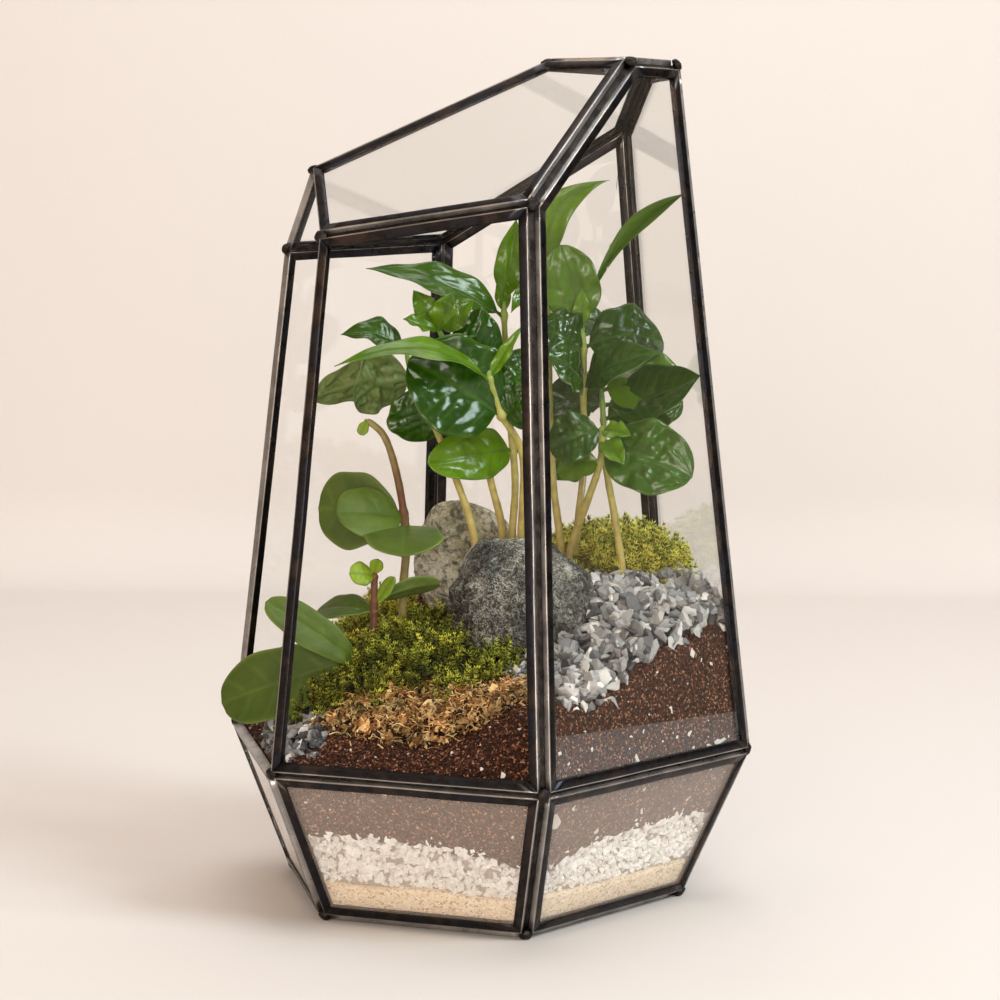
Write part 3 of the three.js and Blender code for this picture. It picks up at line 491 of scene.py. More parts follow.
@dataclass(frozen=True)
class GlassFinish:
    """Clear float glass with a faint green tint and dust, which casts no dark shadow."""

    name: str = "pane_glass"
    dust: float = 0.001
    tint: Colour = (0.988, 0.995, 0.99)
    film: Colour = (0.66, 0.52, 0.44)

    def material(self) -> Material:
        """Builds the material."""
        fixed = {"Roughness": 0.0, "Metallic": 0.0, "Transmission_Weight": 1.0, "IOR": 1.5}
        paint = Painter(self.name, Base_Color=self.tint, **fixed)
        film, dusty = paint.node("BsdfDiffuse"), paint.node("MixShader")
        clear, path = paint.node("BsdfTransparent"), paint.node("LightPath")
        either = paint.node("MixShader")
        passing = paint.math("ADD", path.outputs["Is Shadow Ray"], path.outputs["Is Diffuse Ray"])
        paint.feed(film, {0: self.film})
        paint.feed(clear, {0: self.tint})
        paint.feed(dusty, {0: self.dust, 1: paint.shader.outputs[0], 2: film.outputs[0]})
        paint.feed(either, {0: passing, 1: dusty.outputs[0], 2: clear.outputs[0]})
        paint.feed(paint.out, {0: either.outputs[0]})
        return paint.material


@dataclass(frozen=True)
class SandFinish:
    """Beige sand: fine grains, some dark and some clear."""

    grains: Stops = (
        (0.0, (0.30, 0.17, 0.08)),
        (0.2, (0.82, 0.62, 0.42)),
        (0.7, (0.92, 0.76, 0.57)),
        (1.0, (0.97, 0.92, 0.82)),
    )
    blend: Colour = (0.93, 0.74, 0.50)

    def material(self) -> Material:
        """Builds the material."""
        paint = Painter("sand", Roughness=0.9, Specular_IOR_Level=0.3)
        shade, height = paint.grains(scale=1500.0)
        broad, _ = paint.mottle(scale=120.0, contrast=1.5)
        grain = paint.ramp(shade, *self.grains)
        paint.colour(paint.mix(paint.range(broad, 0.0, 0.35), grain, self.blend))
        paint.relief(height, strength=0.7, depth=0.0004)
        return paint.material


@dataclass(frozen=True)
class LooseFinish:
    """Loose bits of stone or soil, each with its own shade, and a darker bloom over them."""

    name: str
    stops: Stops
    rough: float
    gloss: float = 0.4
    scale: float = 420.0
    contrast: float = 1.8
    fine_bloom: bool = False
    bloom: Colour = (0.55, 0.54, 0.53)
    most: float = 0.4

    def material(self) -> Material:
        """Builds the material."""
        paint = Painter(self.name, Roughness=self.rough, Specular_IOR_Level=self.gloss)
        broad, fine = paint.mottle(scale=self.scale, contrast=self.contrast)
        shade = paint.ramp(paint.value("shade"), *self.stops)
        mask = paint.range(fine if self.fine_bloom else broad, 0.0, self.most)
        paint.colour(paint.mix(mask, shade, self.bloom, "MULTIPLY"))
        paint.relief(fine, strength=0.5, depth=0.0004)
        return paint.material


@dataclass(frozen=True)
class SoilFinish:
    """Dark red-brown coir soil with reddish fibres and pale specks."""

    earth: Stops = (
        (0.0, (0.030, 0.012, 0.008)),
        (0.5, (0.095, 0.034, 0.017)),
        (1.0, (0.18, 0.064, 0.030)),
    )
    crumbs: Stops = (
        (0.0, (0.06, 0.05, 0.05)),
        (0.55, (0.5, 0.44, 0.42)),
        (0.86, (1.6, 1.4, 1.3)),
        (0.95, (5.0, 7.0, 8.0)),
    )

    def material(self) -> Material:
        """Builds the material."""
        paint = Painter("soil", Roughness=0.95, Specular_IOR_Level=0.25)
        shade, height = paint.grains(scale=1500.0)
        _, fine = paint.mottle(scale=300.0, contrast=2.6)
        brown = paint.ramp(fine, *self.earth)
        tone = paint.ramp(shade, *self.crumbs)
        paint.colour(paint.mix(0.9, brown, tone, "MULTIPLY"))
        paint.relief(height, strength=0.9, depth=0.0010)
        paint.relief(fine, strength=0.7, depth=0.0008)
        return paint.material


@dataclass(frozen=True)
class RockFinish:
    """Weathered boulder: cloudy tones from deep to pale, speckled, with thin pale veins."""

    name: str
    deep: Colour
    body: Colour
    light: Colour
    pale: Colour
    vein: float = 0.022

    def material(self) -> Material:
        """Builds the material."""
        paint = Painter(self.name, Roughness=0.72, Specular_IOR_Level=0.4)
        cloud, cloud_fine = paint.mottle(scale=38.0, contrast=3.0)
        speck, speck_fine = paint.mottle(scale=170.0, contrast=3.2, swirl=2.2)
        lines = paint.mottle(scale=130.0, contrast=1.0, detail=9.0)
        tones = (0.1, self.deep), (0.42, self.body), (0.72, self.light), (0.97, self.pale)
        body = paint.ramp(cloud, *tones)
        speckled = paint.ramp(speck, (0.2, grey(0.25)), (0.6, grey(1.0)))
        body = paint.mix(0.9, body, speckled, "MULTIPLY")
        flecks = paint.ramp(speck_fine, (0.5, grey(0.0)), (0.72, grey(1.0)))
        bright = paint.times(cloud, cloud)
        body = paint.mix(paint.times(flecks, bright), body, self.pale)
        for line, place in zip(lines, (0.5, 0.56)):
            start, end = (place - self.vein, grey(0.0)), (place + self.vein, grey(0.0))
            thin = paint.times(paint.ramp(line, start, (place, grey(1.0)), end), speck)
            body = paint.mix(paint.times(thin, 0.5), body, self.pale)
        paint.colour(body)
        paint.relief(cloud_fine, strength=0.8, depth=0.003)
        paint.relief(speck, strength=0.5, depth=0.0008)
        return paint.material


@dataclass(frozen=True)
class MossFinish:
    """Moss: pale bright tips over dark depths; on the moss cushions the dark depths are painted
    shade.
    """

    name: str = "moss"
    deep: Colour = (0.008, 0.007, 0.001)
    mid: Colour = (0.15, 0.165, 0.014)
    tip: Colour = (0.80, 0.86, 0.12)

    def material(self) -> Material:
        """Builds the material."""
        paint = Painter(self.name, Roughness=0.75, Specular_IOR_Level=0.3)
        broad, _ = paint.mottle(scale=110.0, contrast=2.4)
        green = paint.ramp(paint.value("tip"), (0.15, self.deep), (0.55, self.mid), (1.0, self.tip))
        patch = paint.ramp(broad, (0.2, (0.55, 0.62, 0.5)), (0.8, (1.25, 1.1, 0.9)))
        paint.colour(paint.mix(0.8, green, patch, "MULTIPLY"))
        return paint.material


@dataclass(frozen=True)
class LeafFinish:
    """A leaf: glossy above, dull and paler below, bright when young, with paler veins."""

    name: str
    old: Colour
    young: Colour
    under: Colour
    vein: Colour
    margin: Colour
    gloss: Pair
    shine: float = 0.4

    def material(self) -> Material:
        """Builds the material."""
        glow = {"Subsurface_Weight": 0.12, "Subsurface_Scale": MM}
        paint = Painter(self.name, Specular_IOR_Level=self.shine, **glow)
        broad, fine = paint.mottle(scale=130.0, contrast=1.8)
        top = paint.mix(paint.value("age"), self.young, self.old)
        top = paint.mix(paint.times(paint.value("vein"), 0.55), top, self.vein)
        top = paint.mix(paint.times(paint.value("rim"), 0.8), top, self.margin)
        below = paint.mix(paint.value("age"), self.young, self.under)
        below = paint.mix(paint.times(paint.value("vein"), 0.6), below, self.vein)
        leaf = paint.mix(paint.value("under"), top, below)
        shade = paint.ramp(broad, (0.2, (0.72, 0.76, 0.7)), (0.8, (1.15, 1.1, 1.1)))
        paint.colour(paint.mix(0.75, leaf, shade, "MULTIPLY"))
        side = paint.range(paint.value("under"), *self.gloss)
        paint.roughness(paint.math("ADD", side, paint.range(fine, 0.0, 0.1)))
        paint.relief(fine, strength=0.2, depth=0.0003)
        return paint.material


@dataclass(frozen=True)
class StemFinish:
    """A stem, pale and woody at the foot, green towards the tip."""

    name: str
    foot: Colour
    middle: Colour
    head: Colour

    def material(self) -> Material:
        """Builds the material."""
        glow = {"Subsurface_Weight": 0.05, "Subsurface_Scale": MM}
        paint = Painter(self.name, Roughness=0.5, Specular_IOR_Level=0.4, **glow)
        broad, fine = paint.mottle(scale=300.0, contrast=2.0)
        tones = (0.0, self.foot), (0.55, self.middle), (1.0, self.head)
        tone = paint.ramp(paint.value("height"), *tones)
        shade = paint.ramp(broad, (0.2, (0.7, 0.66, 0.6)), (0.8, (1.1, 1.08, 1.0)))
        paint.colour(paint.mix(0.8, tone, shade, "MULTIPLY"))
        paint.relief(fine, strength=0.4, depth=0.0003)
        return paint.material


SLATE = LooseFinish(
    "slate_chips",
    (
        (0.0, (0.05, 0.05, 0.055)),
        (0.4, (0.30, 0.295, 0.295)),
        (0.8, (0.66, 0.64, 0.62)),
        (0.95, (0.97, 0.95, 0.92)),
    ),
    rough=0.5,
)
WHITE_GRAVEL = LooseFinish(
    "white_gravel_chips",
    ((0.0, (0.42, 0.38, 0.34)), (0.4, (0.86, 0.84, 0.81)), (1.0, (0.98, 0.98, 0.96))),
    rough=0.6,
)
# Crumbs, red fibres and white specks, told apart by their shade.
SOIL_BITS = LooseFinish(
    "soil_bits",
    (
        (0.0, (0.030, 0.012, 0.007)),
        (0.45, (0.12, 0.042, 0.020)),
        (0.8, (0.30, 0.115, 0.052)),
        (0.86, (0.86, 0.82, 0.76)),
    ),
    rough=0.9,
    gloss=0.3,
    scale=900.0,
    contrast=2.0,
    fine_bloom=True,
    bloom=(0.4, 0.4, 0.4),
    most=0.5,
)
DARK_ROCK = RockFinish(
    "dark_rock",
    deep=(0.003, 0.003, 0.003),
    body=(0.014, 0.015, 0.011),
    light=(0.085, 0.085, 0.065),
    pale=(0.60, 0.58, 0.52),
)
PALE_ROCK = RockFinish(
    "pale_rock",
    deep=(0.12, 0.105, 0.06),
    body=(0.34, 0.31, 0.20),
    light=(0.58, 0.54, 0.40),
    pale=(0.80, 0.76, 0.64),
)
MOSS = MossFinish()
PALE_MOSS = MossFinish(
    "pale_moss", deep=(0.05, 0.035, 0.008), mid=(0.50, 0.48, 0.06), tip=(0.95, 0.96, 0.24)
)
DRIED_MOSS = MossFinish(
    "dried_moss", deep=(0.028, 0.009, 0.004), mid=(0.37, 0.17, 0.060), tip=(0.90, 0.70, 0.38)
)
COFFEE_LEAF = LeafFinish(
    "coffee_leaf",
    old=(0.015, 0.055, 0.002),
    young=(0.125, 0.25, 0.005),
    under=(0.13, 0.17, 0.055),
    vein=(0.05, 0.13, 0.012),
    margin=(0.05, 0.12, 0.008),
    gloss=(0.15, 0.46),
)
PEPEROMIA_LEAF = LeafFinish(
    "peperomia_leaf",
    old=(0.046, 0.076, 0.008),
    young=(0.24, 0.36, 0.02),
    under=(0.15, 0.21, 0.06),
    vein=(0.09, 0.15, 0.02),
    margin=(0.17, 0.23, 0.05),
    gloss=(0.45, 0.5),
    shine=0.25,
)
COFFEE_STEM = StemFinish(
    "coffee_stem", foot=(0.52, 0.38, 0.14), middle=(0.46, 0.42, 0.12), head=(0.14, 0.30, 0.05)
)
PEPEROMIA_GREEN, PEPEROMIA_RED = (0.30, 0.28, 0.09), (0.15, 0.055, 0.024)
TALL_STEM = StemFinish("peperomia_tall_stem", PEPEROMIA_GREEN, PEPEROMIA_RED, PEPEROMIA_GREEN)
YOUNG_STEM = StemFinish(
    "peperomia_young_stem", (0.08, 0.03, 0.014), (0.10, 0.036, 0.017), PEPEROMIA_RED
)


# The glass house


@dataclass(frozen=True)
class StandOff:
    """How far each kind of filling keeps from the planes of the panes."""

    gravel: float = 2.0
    pressed_soil: float = 2.05
    bed: float = 2.1
    slate: float = 2.1
    moss: float = 2.1
    soil: float = 2.15
    crumbs: float = 2.2
    cushion: float = 2.4
    fibres: float = 3.0
    crumb_centres: float = 3.2
    strands: float = 3.6
    fibre_centres: float = 6.0
    slate_core: float = 7.0


STAND_OFF = StandOff()


@dataclass(frozen=True)
class Corner:
    """A corner of the belt: its radius and angle, and the height of its eave."""

    name: str
    radius: float
    angle: float
    eave: float = 0.0


@dataclass
class Plane:
    """A plane through a point with a normal that points out of the house."""

    normal: Array
    point: Array

    @staticmethod
    def through(a: Array, b: Array, c: Array) -> "Plane":
        """The plane through three points, its normal pointing away from the axis."""
        normal = unit(np.cross(b - a, c - a))
        outward = a - np.array([0.0, 0.0, a[2] if abs(normal[2]) < 0.9 else 100.0])
        return Plane(normal if normal @ outward > 0 else -normal, a)


def meet(*planes: Plane) -> Array:
    """The point where three planes meet."""
    return np.linalg.solve([p.normal for p in planes], [p.normal @ p.point for p in planes])


@dataclass
class Edge:
    """One edge of a pane, from joint to joint, and how far its came stands off from it."""

    pane: "Pane"
    index: int
    start: Array
    end: Array
    inset: float = 0.0

    @property
    def along(self) -> Array:
        """The edge's direction."""
        return unit(self.end - self.start)

    @property
    def inward(self) -> Array:
        """The direction into the pane."""
        way = unit(np.cross(self.pane.plane.normal, self.along))
        return way if way @ (self.pane.centre - self.start) > 0 else -way

    def neighbour(self, step: int) -> "Edge":
        """The edge before, -1, or after, 1, round the pane."""
        return self.pane.edges[(self.index + step) % len(self.pane.edges)]

    def corner_with(self, other: "Edge") -> Array:
        """Where the inset lines of two edges meet."""
        return meet(
            Plane(self.inward, self.start + self.inward * self.inset),
            Plane(other.inward, other.start + other.inward * other.inset),
            Plane(self.pane.plane.normal, self.start),
        )


@dataclass
class Pane:
    """A pane's plane and the joints round it."""

    plane: Plane
    round: list[str]
    centre: Array
    edges: list[Edge] = field(default_factory=list)


@dataclass
class Came:
    """Sizes of the came and its solder."""

    depth: float = 3.5
    face: float = 3.3
    wall: float = 0.45
    slot: float = 2.6
    crown: float = 0.10
    rounding: float = 0.34
    gap: float = 0.3
    blob: float = 2.2
    blob_flat: float = 0.62
    proud: float = 0.1
    station: float = 5.0
    waviness: float = 0.07
    seam_sink: float = 0.2
    seam_lift: float = 0.12
    seam_station: float = 4.0
    blob_lumps: float = 0.07
    # Share of the pale corner colour, partly wear and partly painted highlight, on the face's inner
    # corners.
    inner_wear_and_highlight: float = 0.3

    def profile(self, inset: float) -> tuple[Array, Array]:
        """The U-shaped section, with rounded outer corners and slightly crowned faces.

        Each outer face is an arch of height crown, and its two corners are quarter circles.

        Args:
            inset: How far the section's back stands off from the edge.

        Returns:
            The section's points, across the face and along the normal, and how much of the pale
            corner colour each takes, partly wear and partly painted highlight.
        """
        half = self.depth / 2
        near, far, floor = inset, inset + self.face, inset + self.wall
        turn = np.linspace(0, math.pi / 2, 4)
        r = self.rounding
        low = half - self.crown - r
        back = np.stack([near + r - r * np.cos(turn), low + r * np.sin(turn)], axis=1)
        front = np.stack([far - r + r * np.sin(turn), low + r * np.cos(turn)], axis=1)
        x = np.linspace(near + r, far - r, 6)[1:-1]
        middle = (near + far) / 2
        arch = np.stack([x, half - self.crown * ((x - middle) / (far - middle)) ** 2], axis=1)
        lip = np.array([[far, self.slot / 2], [floor, self.slot / 2]])
        top = np.concatenate([back, arch, front, lip])
        # The back corners take all of the pale corner colour, partly wear and partly painted
        # highlight, and the front corners a share.
        wear_and_highlight = [np.ones(4), np.zeros(len(arch)), np.full(4, self.inner_wear_and_highlight), np.zeros(2)]
        edge = np.concatenate(wear_and_highlight)
        bottom = (top * [1, -1])[::-1]
        return np.concatenate([top, bottom]), np.concatenate([edge, edge[::-1]])


# Every pane by the plane that it lies in and the joints round it. The open side has no glass.
PANES = {
    "glass_base": (
        "base",
        "base_front base_right base_rear_right base_rear base_rear_left base_left",
    ),
    "glass_front_right": (
        "upper_front_right",
        "belt_front belt_right top_right top_front eave_front",
    ),
    "glass_right": ("upper_right", "belt_right belt_rear_right eave_rear_right top_rear top_right"),
    "glass_rear_right": ("upper_rear_right", "belt_rear_right belt_rear eave_rear eave_rear_right"),
    "glass_rear_left": ("upper_rear_left", "belt_rear belt_rear_left eave_rear_left eave_rear"),
    "open_front": ("upper_front", "belt_left belt_front eave_front eave_left"),
    "glass_roof_front": ("roof_front", "eave_left eave_front top_front ridge_end gable_peak"),
    "glass_roof_rear": (
        "roof_rear",
        "eave_rear_left eave_rear eave_rear_right top_rear ridge_end gable_peak",
    ),
    "glass_top": ("top", "ridge_end top_front top_right top_rear"),
}
# The bars above the belt by the joints they join, and the joints whose solder they carry.
UPPER_BARS = {
    "came_eave_front": ("eave_left eave_front", "eave_left eave_front"),
    "came_eave_rear_left": ("eave_rear_left eave_rear", "eave_rear_left"),
    "came_eave_rear_right": ("eave_rear eave_rear_right", "eave_rear eave_rear_right"),
    "came_rake_front": ("eave_front top_front", ""),
    "came_rake_rear": ("eave_rear_right top_rear", ""),
    "came_gable_front": ("eave_left gable_peak", ""),
    "came_gable_rear": ("eave_rear_left gable_peak", ""),
    "came_ridge": ("gable_peak ridge_end", "gable_peak"),
}
TOP_RING = "ridge_end top_front top_right top_rear"


def ring(joints: list[str]) -> list[tuple[str, str]]:
    """The bars of a closed ring of joints."""
    return list(zip(joints, joints[1:] + joints[:1]))


@dataclass
class House:
    """The glass house: its joints, planes, panes and bars."""

    came: Came = field(default_factory=Came)
    base_z: float = 1.75
    belt_z: float = 54.25
    top_z: float = 292.25
    apex_z: float = 859.75
    base_scale: float = 0.76
    roof_at_right_post: float = 313.0
    corners: tuple[Corner, ...] = (
        Corner("front", 100, -92, 243.75),
        Corner("right", 96, -26),
        Corner("rear_right", 99, 30, 273.25),
        Corner("rear", 90, 89, 230.75),
        Corner("rear_left", 94, 149.5, 227.75),
        Corner("left", 96.5, 210, 232.75),
    )
    sides: tuple[str, ...] = ("front_right", "right", "rear_right", "rear_left", "gable", "front")

    def __post_init__(self) -> None:
        """Works out the joints, planes, panes and edges."""
        self.joints: Values = {}
        for corner in self.corners:
            belt = self.belt_joint(corner)
            self.joints[f"belt_{corner.name}"] = belt
            base = np.array([*(belt[:2] * self.base_scale), self.base_z])
            self.joints[f"base_{corner.name}"] = base
            if corner.eave:
                self.joints[f"eave_{corner.name}"] = self.on_post(corner, corner.eave)
        self.walls = self._walls()
        self._roof()
        self.panes = self._panes()
        self.pairs: dict[tuple[str, ...], list[Edge]] = {}
        for pane in self.panes:
            for i, (name, after) in enumerate(ring(pane.round)):
                edge = Edge(pane, i, self.joints[name], self.joints[after])
                pane.edges.append(edge)
                self.pairs.setdefault(tuple(sorted((name, after))), []).append(edge)
        for pair in self.pairs.values():
            for edge in pair:
                edge.inset = self.came.gap / 2
                if len(pair) == 2:
                    first, second = (one.pane.plane.normal for one in pair)
                    bend = math.acos(np.clip(first @ second, -1, 1))
                    edge.inset += self.came.depth / 2 * math.tan(bend / 2)

    def belt_joint(self, corner: Corner) -> Array:
        """The belt's joint at a corner."""
        return np.array([*around(corner.radius, math.radians(corner.angle)), self.belt_z])

    def on_post(self, corner: Corner, z: float) -> Array:
        """The point of a corner's post at a height."""
        share = (z - self.belt_z) / (self.apex_z - self.belt_z)
        return self.belt_joint(corner) * (1 - share) + np.array([0, 0, self.apex_z]) * share

    def _walls(self) -> dict[str, Plane]:
        """The planes of the upper and lower sides."""
        walls = {}
        apex = np.array([0, 0, self.apex_z])
        for side, (a, b) in zip(self.sides, ring([corner.name for corner in self.corners])):
            belt_a, belt_b = self.joints[f"belt_{a}"], self.joints[f"belt_{b}"]
            walls[f"upper_{side}"] = Plane.through(belt_a, belt_b, apex)
            walls[f"lower_{side}"] = Plane.through(belt_a, belt_b, self.joints[f"base_{a}"])
        return walls

    def _roof(self) -> None:
        """Works out the roof's planes and joints."""
        j = self.joints
        above = self.on_post(self.corners[1], self.roof_at_right_post)
        front = Plane.through(j["eave_left"], j["eave_front"], above)
        rear = Plane.through(j["eave_rear_left"], j["eave_rear"], j["eave_rear_right"])
        for roof in (front, rear):
            if roof.normal[2] < 0:
                roof.normal = -roof.normal
        top = Plane(UP, np.array([0, 0, self.top_z]))
        base = Plane(-UP, np.array([0, 0, self.base_z]))
        self.level = {"roof_front": front, "roof_rear": rear, "top": top, "base": base}
        right, front_right = self.walls["upper_right"], self.walls["upper_front_right"]
        j["gable_peak"] = meet(front, rear, self.walls["upper_gable"])
        j["ridge_end"] = meet(front, rear, top)
        j["top_front"] = meet(front, top, front_right)
        j["top_rear"] = meet(rear, top, right)
        j["top_right"] = meet(top, front_right, right)

    def _panes(self) -> list[Pane]:
        """Every pane, and the open front side, which has came and no glass."""
        listed = [(plane, rim.split()) for plane, rim in PANES.values()]
        for side, (a, b) in zip(self.sides, ring([corner.name for corner in self.corners])):
            listed.append((f"lower_{side}", [f"base_{a}", f"base_{b}", f"belt_{b}", f"belt_{a}"]))
        planes = {**self.walls, **self.level}
        return [
            Pane(planes[plane], rim, np.mean([self.joints[n] for n in rim], axis=0))
            for plane, rim in listed
        ]

    def bars(self) -> dict[str, tuple[list[tuple[str, str]], list[str]]]:
        """Every bar of the frame: the edges that it covers and the joints that it solders."""
        names = [corner.name for corner in self.corners]
        base, belt = ([f"{level}_{n}" for n in names] for level in ("base", "belt"))
        top = TOP_RING.split()
        bars = {"came_base": (ring(base), base), "came_belt": (ring(belt), belt)}
        for name, (ends, soldered) in UPPER_BARS.items():
            bars[name] = ([tuple(ends.split())], soldered.split())
        bars["came_top"] = (ring(top), top)
        for name in names:
            head = "top_right" if name == "right" else f"eave_{name}"
            bars[f"came_post_{name}"] = ([(f"belt_{name}", head)], [])
            bars[f"came_strut_{name}"] = ([(f"base_{name}", f"belt_{name}")], [])
        return bars

    def came_surface(self, edge: Edge, seed: int) -> Surface:
        """One length of came: its section carried along the edge and cut by a mitre at both ends.

        Each point of the section runs from one mitre plane to the other, and wanders by a few
        hundredths of a millimetre on the way, as hand-laid came does.

        Args:
            edge: The pane's edge.
            seed: Seed of its waviness.

        Returns:
            The came.
        """
        section, rim = self.came.profile(edge.inset)
        across = np.cross(edge.along, edge.inward)
        foot = edge.start + section[:, :1] * edge.inward + section[:, 1:] * across
        ends = []
        for other, sign in ((edge.neighbour(-1), 1.0), (edge.neighbour(1), -1.0)):
            mitre = unit(edge.along + other.along) * sign
            corner = edge.corner_with(other) + mitre * self.came.gap / 4
            ends.append(((corner - foot) @ mitre) / (edge.along @ mitre))
        length = np.linalg.norm(edge.end - edge.start)
        share = np.linspace(0, 1, max(3, round(length / self.came.station)))[:, None]
        run = ends[0] + (ends[1] - ends[0]) * share
        rings = foot + run[..., None] * edge.along
        fade = np.sin(math.pi * share)[..., None]
        wander = waves(run, np.zeros_like(run), 45.0, seed)[..., None] * edge.inward
        rings = rings + self.came.waviness * fade * wander
        return tube(rings, {"edge": np.broadcast_to(rim, run.shape)})

    def seam_surface(self, pair: list[Edge]) -> Surface:
        """The solder in the bottom of the groove between two cames, as a shallow hollow strip."""
        a, b = pair
        rims = []
        for edge in pair:
            web = edge.inward * (edge.inset + self.came.seam_sink)
            drop = edge.pane.plane.normal * self.came.depth / 2
            rims.append((web - drop, web - drop * 0.1))
        share = np.linspace(0, 1, 5)[:, None]
        outer = rims[0][1] * (1 - share) + rims[1][1] * share
        loop = np.concatenate([outer, [rims[1][0], rims[0][0]]])
        length = np.linalg.norm(a.end - a.start)
        steps = np.linspace(0, length, max(3, round(length / self.came.seam_station)))
        lift = self.came.seam_lift * waves(steps, np.zeros_like(steps), 9.0, 5)[:, None, None]
        rings = a.start + loop + steps[:, None, None] * a.along
        out = unit(a.pane.plane.normal + b.pane.plane.normal)
        rings = rings + np.r_[0, 1, 1, 1, 0, 0, 0][:, None] * lift * out
        return tube(rings)

    def blob_surface(self, name: str, seed: int) -> Surface:
        """A lump of solder on a joint: a ball, flattened and pushed in and out."""
        normals = [pane.plane.normal for pane in self.panes if name in pane.round]
        out = unit(np.sum(normals, axis=0))
        way_out = ball(15, 24)
        radius = self.came.blob * (1 + self.came.blob_lumps * lumps(way_out * 3, 2.2, seed))
        shape = way_out * radius[..., None]
        shape = shape - (1 - self.came.blob_flat) * (shape @ out)[..., None] * out
        shape = self.joints[name] + out * self.came.proud + shape
        shape[..., 2] = np.maximum(shape[..., 2], 0.0)
        return tube(shape)

    def make_frame(self, came: Material, solder: Material) -> None:
        """Makes every bar of the frame with its solder.

        Args:
            came: The came's material.
            solder: The solder's material.
        """
        for seed, (name, (spans, blobs)) in enumerate(self.bars().items()):
            parts = []
            for k, span in enumerate(spans):
                pair = self.pairs[tuple(sorted(span))]
                for m, edge in enumerate(pair):
                    length = self.came_surface(edge, 31 * seed + 7 * k + m)
                    parts.append(length.with_value("second", 0.0))
                if len(pair) == 2:
                    parts.append(self.seam_surface(pair).with_value("second", 1.0))
            for i, blob in enumerate(blobs):
                parts.append(self.blob_surface(blob, seed + i).with_value("second", 1.0))
            make_piece(f"{name}_dressed", Surface.joined(parts), [came, solder], [name])

    def reach(self, angle: Array, z: Array, stand_off: float = STAND_OFF.bed) -> Array:
        """How far the room inside the panes reaches from the axis.

        Each wall stops a ray at its own distance, and the nearest wall counts.

        Args:
            angle: Directions, in radians.
            z: Heights.
            stand_off: Distance kept from the panes' planes.

        Returns:
            Distances from the axis.
        """
        best = np.full(np.broadcast(angle, z).shape, 1e3)
        for wall in self.walls.values():
            n = wall.normal
            slope = n[0] * np.cos(angle) + n[1] * np.sin(angle)
            room = n @ wall.point - stand_off - n[2] * z
            with np.errstate(divide="ignore", invalid="ignore"):
                best = np.where(slope > TINY, np.minimum(best, room / slope), best)
        return best

    def hold(self, surface: Surface, stand_off: float) -> Surface:
        """Moves points outside the room back towards the axis, onto the room's wall."""
        surface.points = self.held(surface.points, stand_off)
        return surface

    def held(self, points: Array, stand_off: float) -> Array:
        """Points, of which those outside the room are moved towards the axis onto its wall."""
        x, y, z = np.moveaxis(points, -1, 0)
        scale = self.reach(np.arctan2(y, x), z, stand_off) / np.maximum(np.hypot(x, y), TINY)
        scale = np.minimum(1.0, scale)
        return points * spots(scale, scale, 1.0)

    def room_at(self, points: Array) -> Array:
        """How far points lie inside the nearest pane's plane."""
        walls = self.walls.values()
        return np.min([w.normal @ w.point - points @ w.normal for w in walls], axis=0)

    def inside(self, side: str, x: Array, y: Array) -> Array:
        """How far a place lies inside one side of the belt, seen from above."""
        i = self.sides.index(side)
        a, b = (self.belt_joint(self.corners[k % 6])[:2] for k in (i, i + 1))
        way = unit(b - a)
        return (y - a[1]) * way[0] - (x - a[0]) * way[1]


# The ground


@dataclass
class Ground:
    """The filling's heights over the plan."""

    house: House
    sand: float = 14.4
    gravel: float = 32.2
    sill: float = 55.0
    crest: float = 107.0
    floor: float = 3.8

    def sand_top(self, x: Array, y: Array) -> Array:
        """Height of the sand."""
        return self.sand + 0.5 * waves(x, y, 40, 1)

    def gravel_top(self, x: Array, y: Array) -> Array:
        """Height of the gravel, lower in the front corner."""
        uneven = 0.8 * waves(x, y, 30, 2) + 0.8 * waves(x, y, 7, 9)
        return self.gravel - 7 * bump(x, y, 0, -82, 15) + uneven

    def soil_top(self, x: Array, y: Array) -> Array:
        """Height of the soil.

        The ground is the least of four slopes, rounded where they meet: up from the front sill, up
        from the gable sill, up from the front window, and a level crest.

        Args:
            x: Place over the plan.
            y: Place over the plan.

        Returns:
            Heights.
        """
        front = self.house.inside("front", x, y)
        gable = self.house.inside("gable", x, y)
        window = self.house.inside("front_right", x, y)
        along = np.clip((x + 3) / 90, 0, 1)
        slopes = [
            self.sill + 1 + 0.62 * front + 16 * bump(x, y, -2, -84, 13),
            self.sill - 1.5 + 0.62 * gable,
            82 + 13 * along + 0.5 * window,
            self.crest + 0 * x,
        ]
        return -2 * np.log(sum(np.exp(-s / 2) for s in slopes))

    def rough_soil(self, x: Array, y: Array) -> Array:
        """The soil with its crumbs and hollows."""
        broad, fine = 0.5 * waves(x, y, 14, 3), 0.3 * waves(x, y, 2.1, 5)
        return self.soil_top(x, y) + broad + 0.5 * waves(x, y, 4.5, 4) + fine


Height = Callable[[Array, Array], Array]


